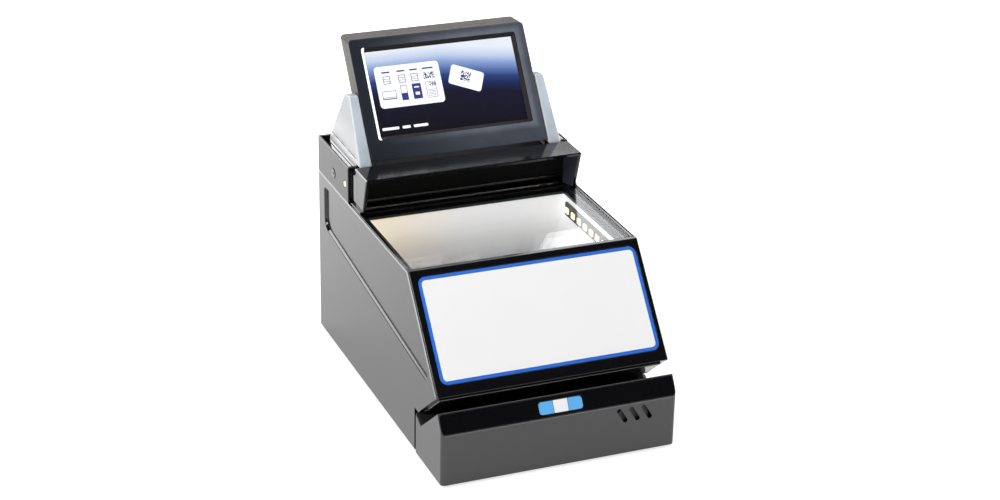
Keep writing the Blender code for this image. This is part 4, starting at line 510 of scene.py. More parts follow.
def frosted_moulding():
    """Frosted clear plastic, streaky, its colour set by facing as painted light and shade: lighter and
    bluish in front, darker grey on its flanks, with a painted highlight on the rounded edges between; the
    flanks are painted lighter low down against their shade, and are lightest below the flank line.
    """
    finish = Finish("frosted_clear_moulding", Subsurface_Weight=0.35,
                    Subsurface_Radius=(0.004, 0.004, 0.004), Subsurface_Scale=1.0, Specular_IOR_Level=0.3)
    streak = finish.noise(45.0, 3.0, 0.6, (1.0, 1.6, 0.8)).ramp(0.35, 0.65)
    # Painted light and shade: the colour follows which way a face looks
    facing = finish.node("ShaderNodeSeparateXYZ", values={0: finish.node("ShaderNodeTexCoord", output=1)})
    turn = facing.size()
    flank = turn.ramp(0.90, 0.98)
    # Painted highlight on the rounded edges between front and flank
    corner = turn.ramp(0.08, 0.30) * (1.0 - flank)
    up = finish.part("Z")
    line = FLANK_LINE + FOOT_PROUD
    # Painted light: the lower flank is lighter, against the shade there
    low = 1.0 - up.ramp(line, 0.152)
    foot = 1.0 - up.ramp(line - 0.0001, line)
    front = finish.mix(streak, (0.44, 0.51, 0.58), (0.54, 0.60, 0.66))
    side = finish.mix(streak, (0.32, 0.325, 0.33), (0.37, 0.375, 0.38))
    side = finish.mix(foot, finish.mix(low, side, (0.52, 0.525, 0.53)), (0.80, 0.80, 0.81))
    finish.set(Base_Color=finish.mix(corner, finish.mix(flank, front, side), (0.64, 0.66, 0.68)))
    finish.set(Roughness=0.30 + streak * 0.10)
    finish.bump(finish.noise(2400.0), 0.00002)
    return finish.material


def window_edge():
    """The flare round the display's window: a glowing painted highlight along its left edge, dull black
    elsewhere.
    """
    finish = Finish("window_edge", Roughness=0.45, Emission_Strength=0.75, Specular_IOR_Level=0.12)
    # Painted highlight: a white, glowing strip along the flare's left edge
    left_highlight = 1.0 - finish.part("X").ramp(0.0016 - WINDOW_HALF, 0.0019 - WINDOW_HALF)
    finish.set(Base_Color=finish.mix(left_highlight, (0.012, 0.011, 0.011), (0.85, 0.86, 0.88)))
    finish.set(Emission_Color=finish.mix(left_highlight, (0.0, 0.0, 0.0), (0.92, 0.95, 1.0)))
    finish.bump(finish.noise(1200.0), 0.00002)
    return finish.material


def display_moulding():
    """Grey moulding whose front face has a darker, bluish, faintly cloudy film, with a painted reflection
    that lightens it round the window and towards the right; its flat ends and its underside are darker with
    painted shade.
    """
    finish = Finish("display_grey_moulding", Specular_IOR_Level=0.05)
    front = finish.part("Y") * cos(LEAN) - finish.part("Z") * sin(LEAN)
    zero = (HINGE[0] - DEPTH / 2) * cos(LEAN) - (HINGE[1] + FOOT_PROUD) * sin(LEAN) - HINGE_IN
    film = 1.0 - (front - zero).ramp(0.00045, 0.0008)
    cloud = finish.noise(70.0, 4.0, 0.6).ramp(0.25, 0.75)
    across = finish.part("X")
    up = finish.part("Y") * sin(LEAN) + finish.part("Z") * cos(LEAN)
    up = up - ((HINGE[0] - DEPTH / 2) * sin(LEAN) + (HINGE[1] + FOOT_PROUD) * cos(LEAN))
    outside = (across.size() - WINDOW_HALF).at_least(up - WINDOW_TOP).at_least(WINDOW_FOOT - up)
    inner = 1.0 - outside.ramp(0.0012, 0.0050)
    # Painted reflection: the front face is lighter round the window and towards the right
    light = (0.45 + inner * 0.55) * across.ramp(-0.056, 0.030) * (0.75 + cloud * 0.25)
    face = finish.mix(light, (0.020, 0.024, 0.033), (0.150, 0.168, 0.205))
    side = finish.mix(cloud, (0.150, 0.141, 0.135), (0.160, 0.151, 0.144))
    # Painted shade: the flat ends are darker than the top and back
    end = across.size().ramp(DISPLAY_HALF - 0.0012, DISPLAY_HALF - 0.0003)
    side = finish.mix(end, side, (0.105, 0.099, 0.094))
    # Painted shade: the underside takes the darker front colour
    underside = 1.0 - up.ramp(-HINGE_UP - 0.0040, -HINGE_UP + 0.0045)
    finish.set(Base_Color=finish.mix(film.at_least(underside), side, face))
    finish.set(Roughness=0.26 + cloud * 0.06 + film * 0.08)
    finish.bump(finish.noise(2400.0), FINE_GRAIN)
    return finish.material


def lit_chamber():
    """White chamber walls, painted darker towards the bottom as painted shade, with the lamps' light painted
    into them as a glow, warm on the left and strongest under the glass's edges.
    """
    finish = Finish("lit_chamber_wall", Roughness=0.5)
    up = finish.part("Z").ramp(0.040, 0.096)
    left = 1.0 - finish.part("X").ramp(-0.060, 0.010)
    warm = finish.mix(left, (0.90, 0.91, 0.92), (1.0, 0.86, 0.66))
    # Painted shade: the walls are darker towards the bottom
    finish.set(Base_Color=finish.mix(up, (0.16, 0.16, 0.17), (0.82, 0.82, 0.81)))
    # Painted light: the walls glow as if lit by the lamps
    finish.set(Emission_Color=finish.mix(up * up, (0.01, 0.01, 0.012), warm))
    finish.set(Emission_Strength=0.8)
    finish.bump(finish.noise(900.0), 0.00004)
    return finish.material


def lamp_strip():
    """A dark strip of board whose raised chips glow."""
    finish = Finish("lamp_strip", Roughness=0.4)
    inner = finish.part("X").size()
    chip = 1.0 - inner.ramp(0.06085, 0.06105)
    finish.set(Base_Color=finish.mix(chip, (0.02, 0.03, 0.025), (0.9, 0.85, 0.75)))
    finish.set(Emission_Color=finish.mix(chip, (0.0, 0.0, 0.0), (1.0, 0.80, 0.54)))
    finish.set(Emission_Strength=1.5)
    return finish.material


def screen_picture():
    """A lit picture that fades from white through blue to black, from its top down."""
    finish = Finish("screen_picture", Base_Color=(0.004, 0.004, 0.006), Roughness=0.25)
    picture_top, picture_height, lean_to_right = 0.1824, 0.0421, 2.4
    down = (picture_top - finish.part("Z")) / picture_height
    lean = down - finish.part("X").at_least(0.0) * lean_to_right
    stops = [(0.0, (0.76, 0.80, 0.88)), (0.11, (0.50, 0.60, 0.79)), (0.19, (0.24, 0.335, 0.61)),
             (0.275, (0.10, 0.165, 0.40)), (0.355, (0.022, 0.048, 0.18)), (0.435, (0.010, 0.022, 0.090)),
             (0.54, (0.007, 0.007, 0.022)), (1.0, (0.004, 0.003, 0.006))]
    colour = finish.node("ShaderNodeValToRGB", {"stops": stops}, {0: lean})
    finish.set(Emission_Color=colour, Emission_Strength=1.25)
    return finish.material


def lit_ink(name, colour, strength=1.0):
    """A lit colour on the screen, a little uneven."""
    finish = Finish(name, Base_Color=(0.01, 0.01, 0.01), Roughness=0.4)
    cloud = finish.noise(300.0)
    finish.set(Emission_Color=finish.mix(cloud, tuple(value * 0.96 for value in colour), colour))
    finish.set(Emission_Strength=strength)
    return finish.material


glass = polished_glass()
chamber = lit_chamber()
lamps = lamp_strip()
display_grey = display_moulding()
window_rim = window_edge()
frosted = frosted_moulding()
picture = screen_picture()
slots = {"gloss_black": gloss, "satin_grey": satin, "dull_black": dull, "frosted_clear": frosted,
         "white_diffuser": white, "blue_surround": blue, "pale_blue_guide": pale_blue,
         "amber_lens": amber, "clear_glass": glass, "screen": picture, "circuit_board": board,
         "bright_steel": steel, "black_rubber": rubber}
own = {"scan_chamber": chamber, "lamp_left": lamps, "lamp_right": lamps}
for entry in frame["record"]["subparts"]:
    mesh = nodes[entry["node"]].data
    mesh.materials.clear()
    mesh.materials.append(own.get(entry["node"], slots[entry["material_slot"]]))


# The casing

def panel_outline():
    """A side panel seen from the right, anticlockwise from the foot of the block's joint."""
    joint = BLOCK_JOINT + GAP
    return [(joint, 0.0), (DEPTH, 0.0), (DEPTH, SEAM), (SLOPE_TOP, SEAM), SLOPE_FOOT, (joint, SLOT_REAR)]


def side_panel(name, side):
    """A side of the casing, with its recessed field and thin upper edges."""
    chamfer, field_depth, field_corner, foot_corner = 0.0006, 0.0015, 0.0030, 0.0080
    floor, face = HALF - field_depth, HALF
    shape = pushed(panel_outline(), "X", side * PANEL_INNER, side * HALF)
    rim = [edge for edge in shape.edges if all(abs(vert.co.x) > floor for vert in edge.verts)]
    round_edges(shape, rim, chamfer, 1)
    panel = Piece(name, shape, gloss)
    front_margin, top_margin, rear_margin, foot_rise, rear_height = 0.0048, 0.0060, 0.0110, 0.00305, 0.0266
    top, rear = SEAM - top_margin, DEPTH - rear_margin
    steep = tan(SLOPE_ANGLE)
    shift = SLOPE_FOOT[0] + front_margin / sin(SLOPE_ANGLE)
    corners = [(shift + foot_rise / steep, SLOPE_FOOT[1] + foot_rise), (rear, top - rear_height),
               (rear, top), (shift + (top - SLOPE_FOOT[1]) / steep, top)]
    radii = [field_corner, foot_corner, field_corner, field_corner]
    # Places across the field's wall, and how far the wall is drawn in there
    layers = [(floor, 0.00120), (floor + 0.0001, 0.00100), (floor + 0.00025, 0.00085),
              (face - 0.0003, 0.00020), (face - 0.00015, 0.00005), (face - 0.00005, -0.00012),
              (face, -0.0003), (face + OVERRUN, -0.0003)]
    panel.cut(layered(corners, radii, [(side * place, margin) for place, margin in layers], "X", 10))
    outer = inset(panel_outline(), [0, 0, -OVERRUN, -OVERRUN, -OVERRUN, 0])
    inner = inset(panel_outline(), [0, 0, SEAM - FRAME_UNDER + GAP, BEZEL + GAP, -OVERRUN, 0])
    rebate = [(COVER_FRONT, inner[3][1]), (COVER_FRONT, outer[3][1]), *outer[3:5], inner[4], inner[3]]
    panel.cut(pushed(rebate, "X", *span(side, HALF - PANEL_EDGE, PANEL_INNER - OVERRUN)))
    # A groove at the block's joint, lined with painted shade so it reads as a dark line
    groove_depth, groove_width = 0.0012, 0.0030
    groove = rectangle(*span(side, HALF - groove_depth, HALF + OVERRUN), BLOCK_JOINT - OVERRUN,
                       BLOCK_JOINT + GAP + groove_width)
    panel.cut(pushed(groove, "Z", -OVERRUN, SLOT_REAR + OVERRUN), shade)
    boss_inner, boss_lap, boss_half, boss_height = 0.0595, 0.0015, 0.0036, 0.0100
    for depth in (0.0480, 0.1692):
        ends = span(side, boss_inner, PANEL_INNER + boss_lap)
        boss = rectangle(*ends, depth - boss_half, depth + boss_half)
        panel.join(pushed(boss, "Z", BASE + GAP, BASE + GAP + boss_height))
    panel.done(WHOLE, "gloss_black", name)


def front_block():
    """The shell in front of the swipe slot, with its slits and the slot's floor."""
    outline = [(0.0, 0.0), (BLOCK_JOINT, 0.0), (BLOCK_JOINT, SLOT_REAR), SLOT_FLOOR, RIDGE,
               (0.0, BLOCK_FACE)]
    shape = pushed(outline, "X", -BLOCK_HALF, BLOCK_HALF)
    corner, pocket_margin, pocket_corner = 0.0026, 0.0006, 0.0024
    upright = [edge for edge in shape.edges if all(vert.co.y < RIDGE[0] / 2 for vert in edge.verts)
               and abs(edge.verts[0].co.z - edge.verts[1].co.z) > BLOCK_FACE / 2]
    round_edges(shape, upright, corner, 10)
    shell = Piece("front_block", shape, satin).soften(0.0005, 4, 30)
    inner = BLOCK_HALF - BLOCK_WALL
    # The hollow, its underside, the light port and the slits are lined with painted shade
    shell.cut(pushed(inset(outline, [-OVERRUN] + [BLOCK_WALL] * 5), "X", -inner, inner), shade)
    shell.cut(block((-PANEL_INNER, BLOCK_JOINT - BLOCK_WALL - OVERRUN, -OVERRUN),
                    (PANEL_INNER, BLOCK_JOINT + OVERRUN, BASE + GAP)), shade)
    half = BLOCK_HALF - pocket_margin
    pocket = rectangle(-half, half, pocket_margin, BLOCK_TOP_LENGTH - pocket_margin)
    move = WHOLE.inverted() @ BLOCK_TOP
    cutter = layered(pocket, [pocket_corner] * 4, [(-INLAY - GAP, 0.0), (OVERRUN, 0.0)], "Z")
    cutter.transform(move)
    shell.cut(cutter)
    light_port = rectangle(-0.0110, 0.0124, 0.0038, 0.0084)
    port = pushed(light_port, "Z", -BLOCK_WALL - OVERRUN, OVERRUN)
    port.transform(move)
    shell.cut(port, shade)
    away = BLOCK_JOINT - SLOT_FLOOR[0], SLOT_REAR - SLOT_FLOOR[1]
    far_up = away[0] * -cos(SLOT_ANGLE) - away[1] * sin(SLOT_ANGLE)
    far_across = away[0] * sin(SLOT_ANGLE) - away[1] * cos(SLOT_ANGLE)
    near_across, liner_lap, liner_margin = 0.0015, 0.0010, 0.0052
    near_up = far_up * near_across / far_across
    deep = BLOCK_WALL / 2
    liner = [(near_up - deep, near_across), (near_up + liner_lap, near_across),
             (far_up + liner_lap, far_across + deep), (far_up - deep, far_across + deep)]
    across = BLOCK_HALF - liner_margin
    raised = pushed(liner, "X", -across, across)
    raised.transform(WHOLE.inverted() @ SLOT)
    shell.join(raised)
    slit_half, slit_reach, slit_end, lean = 0.00135, 0.0051, 0.00134, radians(32.0)
    from_side, apart, drop = 0.0259, 0.0075, 0.0063
    for number in (-1, 0, 1):
        middle = (BLOCK_HALF - from_side + number * apart, BLOCK_FACE - drop)
        slit = slanted(rectangle(-slit_half, slit_half, -slit_reach, slit_reach), middle, lean)
        slit = filleted(slit, [slit_end] * 4, 6)
        shell.cut(pushed(slit, "Y", -OVERRUN, BLOCK_WALL + OVERRUN / 2), shade)
    shell.done(WHOLE, "satin_grey", "front_block")


def inlay_and_lights():
    """The glossy inlay in the block's sloping top, and the status light in it."""
    margin, corner, window_corner, light_corner, sharp = 0.0008, 0.0021, 0.0014, 0.0018, 0.0001
    half = BLOCK_HALF - margin
    corners = rectangle(-half, half, margin, BLOCK_TOP_LENGTH - margin)
    shape = layered(corners, [corner] * 4, pillow(-INLAY, 0.0, 0.0002), "Z")
    inlay = Piece("block_inlay", shape, dark_gloss)
    left, foot, width, height = 0.0007 - 0.0129, 0.0026, 0.0258, 0.0070
    window = rectangle(left - GAP, left + width + GAP, foot - GAP, foot + height + GAP)
    inlay.cut(layered(window, [window_corner] * 4, mouth(-INLAY - OVERRUN, 0.0, 0.00015), "Z", 6))
    inlay.done(BLOCK_TOP, "gloss_black", "block_inlay")
    third = (width - 2 * GAP) / 3
    for number, name in enumerate(("status_light_left", "status_light_middle", "status_light_right")):
        start = left + number * (third + GAP)
        radii = [light_corner if number == end else sharp for end in (0, 2)]
        corners = rectangle(start, start + third, foot, foot + height)
        shape = layered(corners, radii + radii[::-1], pillow(-INLAY, 0.0, 0.0001, 3), "Z", 6)
        kind = ("white_diffuser", white) if number == 1 else ("pale_blue_guide", pale_blue)
        Piece(name, shape, kind[1]).done(BLOCK_TOP, kind[0], name)


def front_plate():
    """The plate of the front slope, the coloured surround and the white sheet."""
    run, rise = cos(SLOPE_ANGLE), sin(SLOPE_ANGLE)
    under = SEAM - BEZEL * run
    outline = [SLOPE_FOOT, (SLOPE_FOOT[0] + BEZEL * rise, SLOPE_FOOT[1] - BEZEL * run),
               (SLOPE_TOP + BEZEL * rise, under), (BEZEL_REAR, under), (BEZEL_REAR, SEAM), (SLOPE_TOP, SEAM)]
    plate = Piece("front_bezel", pushed(outline, "X", -EDGE_SEAT, EDGE_SEAT), gloss).soften(0.0006, 1)

    def drawn_in(margin, layers):
        """A solid of the surround's outline, drawn in by a margin."""
        half = EDGE_SEAT - SHEET_SIDE_MARGIN - margin
        corners = rectangle(SHEET_OFFSET - half, SHEET_OFFSET + half, SHEET_FOOT_MARGIN + margin,
                            SLOPE_LENGTH - SHEET_TOP_MARGIN - margin)
        return layered(corners, [SHEET_CORNER - margin] * 4, layers, "Z", 10)

    tray = drawn_in(-GAP, mouth(-SHEET_THICKNESS - GAP, 0.0, 0.0002))
    tray.transform(WHOLE.inverted() @ SLOPE)
    plate.cut(tray)
    plate.done(WHOLE, "gloss_black", "front_bezel")
    edges = pillow(-SHEET_THICKNESS, 0.0, 0.0001)
    ring = Piece("front_surround", drawn_in(0.0, edges), blue)
    ring.cut(drawn_in(SURROUND_WIDTH, mouth(-SHEET_THICKNESS - OVERRUN, 0.0, 0.0001)))
    ring.done(SLOPE, "blue_surround", "front_surround")
    sheet = Piece("front_sheet", drawn_in(SURROUND_WIDTH + GAP, edges), white)
    sheet.done(SLOPE, "white_diffuser", "front_sheet")


def glass_frame():
    """The frame that the document glass lies in, with a rear shelf under the hood."""
    rim, rear = EDGE_SEAT - FRAME_RIM, HOOD_STOP + 0.0023
    item = Piece("document_frame", block((-EDGE_SEAT, BEZEL_REAR + GAP, FRAME_UNDER),
                                         (EDGE_SEAT, COVER_FRONT - GAP, SEAM)), rim_gloss).soften(0.0005, 4)
    item.cut(layered(rectangle(-rim, rim, BEZEL_REAR - OVERRUN, rear), [0.0] * 4,
                     mouth(LEDGE_TOP, SEAM, 0.0003), "Z", 1))
    item.cut(block((-APERTURE_HALF, APERTURE_FRONT, FRAME_UNDER - OVERRUN),
                   (APERTURE_HALF, APERTURE_REAR, SEAM)), shade)
    item.done(WHOLE, "gloss_black", "document_frame")


# The hood, the rear cover and the cheeks

def hood():
    """The hood over the rear of the glass: a deep mouth lined with painted shade, its side walls lighter
    with a painted reflection, a document stop and two side flanges.
    """
    slant, overhang, side_wall, flare, stop_gap = 0.0075, 0.0016, 0.0050, 0.0030, 0.0050
    foot, plate = SEAM + GAP, HOOD_TOP - HOOD_PLATE
    front_foot, rear = HOOD_FRONT + slant, NECK_FRONT + overhang
    outline = [(front_foot, foot), (NECK_FRONT, foot), (NECK_FRONT, plate), (rear, plate), (rear, HOOD_TOP),
               (HOOD_FRONT, HOOD_TOP)]
    item = Piece("hood", pushed(outline, "X", -HOOD_HALF, HOOD_HALF), dark_gloss).soften(0.0005, 1)
    flange_edge, flange_width, flange_start, flange_top = HOOD_HALF + 0.0011, 0.0024, 0.0010, 0.0016
    for side in (-1, 1):
        low, high = span(side, flange_edge, flange_edge - flange_width)
        item.join(block((low, front_foot + flange_start, foot + GAP),
                        (high, COVER_FRONT - GAP, foot + flange_top)))
    throat = HOOD_HALF - side_wall
    lean = slant / (HOOD_TOP - foot)
    rings = []
    for place, half in ((-OVERRUN, throat + flare), (0.0, throat + flare), (None, throat)):
        ring = []
        for side, height in ((-1, SEAM - OVERRUN), (1, SEAM - OVERRUN), (1, plate), (-1, plate)):
            depth = HOOD_STOP if place is None else HOOD_FRONT + (HOOD_TOP - height) * lean + place
            ring.append((side * half, depth, height))
        rings.append(ring)
    shape = ringed(rings)
    bmesh.ops.recalc_face_normals(shape, faces=shape.faces)
    for wall in shape.faces:
        wall.material_index = int(abs(wall.normal.x) > 0.5)
    bmesh.ops.triangulate(shape, faces=shape.faces)
    item.cut(shape, shade, mouth_side_painted_reflection)
    low = SEAM + stop_gap
    item.cut(block((GAP - throat, HOOD_STOP - OVERRUN, SEAM - OVERRUN),
                   (throat - GAP, NECK_FRONT + OVERRUN, low)), shade)
    bead_front, bead_rear, bead_top, bead_lap = 0.0008, 0.0018, 0.0014, 0.0005
    bead = rectangle(HOOD_STOP - bead_front, HOOD_STOP + bead_rear, low + GAP, low + bead_top)
    item.join(pushed(bead, "X", -throat - bead_lap, throat + bead_lap))
    item.done(WHOLE, "gloss_black", "hood")
    inset_each_side, neck_rise, neck_drop = 0.0032, 0.0022, 0.0044
    half = HALF - inset_each_side
    # The carrier is coloured grey as a painted reflection; its front face gets painted shade
    neck = Piece("hood_carrier", block((-half, NECK_FRONT + GAP, SEAM + neck_rise),
                                       (half, COVER_FRONT - GAP, COVER_TOP - neck_drop)), neck_painted_reflection)
    neck.soften(0.0003)
    neck.cut(block((GAP - HOOD_HALF, NECK_FRONT, SEAM),
                   (HOOD_HALF - GAP, NECK_FRONT + 2 * GAP, HOOD_TOP)), shade)
    neck.done(WHOLE, "dull_black", "hood_carrier")


def rear_cover():
    """The raised rear housing with its recessed deck, and the button and indicator in its left side."""
    inner, rim, front = HALF - COVER_WALL, HALF - COVER_RIM, COVER_FRONT + COVER_WALL
    shape = block((-HALF, COVER_FRONT, SEAM + GAP), (HALF, DEPTH, COVER_TOP))
    cover = Piece("rear_cover", shape, cover_gloss)
    cover.soften(0.0005, 1)
    cover.cut(block((-rim, front, DECK_TOP),
                    (rim, DEPTH - COVER_WALL, COVER_TOP + OVERRUN)), deck_black)
    cover.cut(block((-DISPLAY_HALF, COVER_FRONT - OVERRUN, DECK_TOP),
                    (DISPLAY_HALF, front + OVERRUN, COVER_TOP + OVERRUN)), deck_black)
    cover.cut(block((-inner, front, SEAM - OVERRUN),
                    (inner, DEPTH + OVERRUN, DECK_TOP - DECK_THICKNESS)), shade)
    lip, past_wall = 0.00015, 0.0010
    for radius, centre in ((0.0031, BUTTON), (0.0022, INDICATOR)):
        profile = [(radius, -inner + past_wall), (radius, -HALF + lip), (radius + lip, -HALF),
                   (radius + lip, -HALF - OVERRUN)]
        cover.cut(turned(profile, centre), shade)
    cover.done(WHOLE, "gloss_black", "rear_cover")
    proud, flange, flange_end, stem, edge = 0.0003, 0.0040, 0.0013, 0.0028, 0.00025
    face, behind = -HALF - proud, -HALF + COVER_WALL
    profile = [(flange, behind + flange_end), (flange, behind + GAP), (stem, behind + GAP)]
    profile += [(BUTTON_RADIUS - margin, place) for place, margin in rounding(face, edge, -1)]
    # The dimple in the middle of its face
    profile += [(0.0009, face), (0.0008, face + 0.0001), (0.0006, face + 0.0005)]
    button = Piece("power_button", turned(profile, BUTTON), gloss)
    button.done(WHOLE, "satin_grey", "power_button", body="button")
    lens, dome, length = 0.0019, 0.00045, 0.0050
    profile = [(lens, -HALF + length), (lens, -HALF)]
    profile += [(lens * cos(radians(turn)), -HALF - dome * sin(radians(turn))) for turn in (20, 40, 60, 80)]
    indicator = Piece("indicator_lens", turned(profile, INDICATOR), amber)
    indicator.done(WHOLE, "amber_lens", "indicator_lens")


def cheek(name, side):
    """A translucent cheek, thinner towards its top, and the grooved ledge beside it."""
    taper, rear_taper, apex_length, apex_drop = 0.0018, 0.0006, 0.0088, 0.0016
    near = DISPLAY_HALF + SIDE_PLAY
    foot, deck = COVER_TOP + GAP, DECK_TOP + GAP
    step, rear = COVER_FRONT + COVER_WALL + GAP, DEPTH - COVER_WALL - GAP
    apex = HOOD_TOP + CHEEK_RISE
    ahead = DISPLAY_FOOT[0] + (foot - DISPLAY_FOOT[1]) * tan(LEAN)
    top = DISPLAY_FOOT[0] + (apex - DISPLAY_FOOT[1]) * tan(LEAN)
    corners = [(ahead, foot), (step, foot), (step, deck), (rear, deck), (rear, foot),
               (top + apex_length, apex - apex_drop), (top, apex)]
    outline = filleted(corners, [0, 0, 0, 0, 0, 0.0014, 0.0024])

    def flank(depth, height, out=0.0):
        """A point on the cheek's outer face, or further out by a distance."""
        up = (height - foot) / (apex - foot)
        back = (depth - ahead) / (rear - ahead)
        return (side * (near + CHEEK_THICKNESS - taper * up - rear_taper * back + out), depth, height)

    rings = [[(side * near, *corner) for corner in outline], [flank(*corner) for corner in outline]]
    body = Piece(name, ringed(rings), frosted).soften(0.0010, 5, 40)
    for radius, deep in ((PIN_HOLE, 0.0048), (0.0045, 0.0013)):
        body.cut(pushed(circle(radius, HINGE), "X", *span(side, near - OVERRUN, near + deep)))
    # A thin groove along the flank, lined with painted shade
    line_start, line_width = step + 0.0010, 0.0004
    line = rectangle(line_start, rear + OVERRUN, FLANK_LINE, FLANK_LINE + line_width)
    body.cut(ringed([[flank(*corner, out) for corner in line] for out in (-GAP, OVERRUN)]), shade)
    body.done(WHOLE, "frosted_clear", name)
    ledge_top, groove_floor, edge = deck + 0.0034, deck + 0.0018, HALF - COVER_RIM - GAP
    corner_cut, waist_share, front_gap, rear_gap = 0.0036, 0.62, 0.0008, 0.0010
    outer, behind, waist = side * edge, rear - corner_cut, step + waist_share * (rear - step)
    plan = [flank(step, foot, front_gap)[:2], flank(behind, foot, rear_gap)[:2], (outer, waist),
            (outer, step)]
    ledge = Piece(f"{name}_ledge", pushed(plan, "Z", deck, ledge_top), ledge_clear).soften(0.0003, 3)
    groove_start, groove_end = 0.0018, 0.0024
    groove = rectangle(step - OVERRUN, rear + OVERRUN, groove_floor, ledge_top + OVERRUN)
    ledge.cut(pushed(groove, "X", *span(side, edge - groove_end, edge - groove_start)), shade)
    ledge.done(WHOLE, "frosted_clear", name)


# The display

def display_outline(margin=0.0):
    """The display's body seen from the front, round its hinge and drawn in by a margin."""
    rise = HINGE_IN * DISPLAY_RISE
    return rectangle(margin - DISPLAY_HALF, DISPLAY_HALF - margin, margin - HINGE_UP + rise,
                     DISPLAY_HEIGHT - margin - HINGE_UP + rise)


def display_slab(name, front, rear, front_edge, rear_edge):
    """A part of the display's body between two depths; an edge is a radius and its steps."""
    layers = rounding(front - HINGE_IN, front_edge[0], -1, front_edge[1])[::-1]
    layers += rounding(rear - HINGE_IN, rear_edge[0], 1, rear_edge[1])
    shape = layered(display_outline(), [DISPLAY_CORNER] * 4, layers, "Y", 8, DISPLAY_RISE)
    return Piece(name, shape, display_grey)


def display():
    """The tilting display: front frame with its flared window, and rear shell."""
    full, slight = (0.0008, 5), (0.0001, 1)
    bezel = display_slab("display_bezel", 0.0, FRAME_DEPTH, full, slight)
    half, low, high = WINDOW_HALF, WINDOW_FOOT, WINDOW_TOP
    front, seat, lip, corner = -HINGE_IN, WINDOW_DEPTH - HINGE_IN, 0.0003, 0.0012
    rounded = [(place, -margin) for place, margin in rounding(front, lip, -1)[::-1]]
    layers = [(front - OVERRUN, -lip), *rounded, (seat, WINDOW_FLARE)]
    bezel.cut(layered(rectangle(-half, half, low, high), [corner] * 4, layers, "Y", 6), window_rim)
    lap = GLASS_LAP + GAP - WINDOW_FLARE
    pocket = rectangle(-half - lap, half + lap, low - lap, high + lap)
    bezel.cut(pushed(pocket, "Y", seat - GAP / 3, FRAME_DEPTH + OVERRUN - HINGE_IN), shade)
    back = display_slab("display_back", FRAME_DEPTH + GAP, DISPLAY_THICKNESS, slight, full)
    start = FRAME_DEPTH + GAP - OVERRUN - HINGE_IN
    inner_corner, pin_reach = 0.0008, 0.0045
    layers = [(start, 0.0), (DISPLAY_THICKNESS - DISPLAY_WALL - HINGE_IN, 0.0)]
    back.cut(layered(display_outline(DISPLAY_WALL), [inner_corner] * 4, layers, "Y", 4, DISPLAY_RISE), shade)
    for side in (-1, 1):
        ends = span(side, DISPLAY_HALF + OVERRUN, DISPLAY_HALF - pin_reach)
        for shell in (bezel, back):
            shell.cut(pushed(circle(PIN_HOLE), "X", *ends), shade)
    bezel.done(PIVOT, "satin_grey", "display_bezel", body="display")
    back.done(PIVOT, "satin_grey", "display_back", body="display")


def on_screen(name, outlines, layer, material):
    """Thin lit shapes in the gap before the screen; outlines in millimetres from the window's top left."""
    left, top = WINDOW_FLARE - WINDOW_HALF, WINDOW_TOP - WINDOW_FLARE
    face = WINDOW_DEPTH + COVER_GLASS + GAP - HINGE_IN - layer * 0.00005
    shape = bmesh.new()
    for outline in outlines:
        corners = [(left + across / 1000, top - down / 1000) for across, down in outline]
        one = pushed(corners, "Y", face - 0.00002, face - 0.00005)
        part = bpy.data.meshes.new("part")
        one.to_mesh(part)
        one.free()
        shape.from_mesh(part)
        bpy.data.meshes.remove(part)
    Piece(name, shape, material).done(PIVOT, "screen", body="display")


def plate(left, top, right, foot, radius=0.0, lean=0.0):
    """A rectangle on the screen, with rounded corners, tipped about its middle."""
    middle = ((left + right) / 2, (top + foot) / 2)
    half = ((right - left) / 2, (foot - top) / 2)
    corners = slanted(rectangle(-half[0], half[0], -half[1], half[1]), middle, radians(lean))
    return filleted(corners, [radius] * 4, 6) if radius else corners


def ring_of(left, top, right, foot, line):
    """A rectangle's outline as four thin bars."""
    return [plate(left, top, right, top + line), plate(left, foot - line, right, foot),
            plate(left, top + line, left + line, foot - line),
            plate(right - line, top + line, right, foot - line)]


def code_cells(left, top, cell, across, down, lean=0.0, seed=5):
    """A block of small square cells, about half of them filled, by a fixed rule."""
    cells = []
    middle = (left + across * cell / 2, top + down * cell / 2)
    state = seed
    for row in range(down):
        for column in range(across):
            state = (state * 1103515245 + 12345) % 2147483648
            corner = row in (0, down - 1) and column in (0, across - 1)
            if corner or (state >> 16) % 100 < 56:
                shift = ((column + 0.5 - across / 2) * cell, (row + 0.5 - down / 2) * cell)
                centre = slanted([shift], middle, radians(lean))[0]
                reach = cell / 2
                cells.append(slanted(rectangle(-reach, reach, -reach, reach), centre, radians(lean)))
    return cells


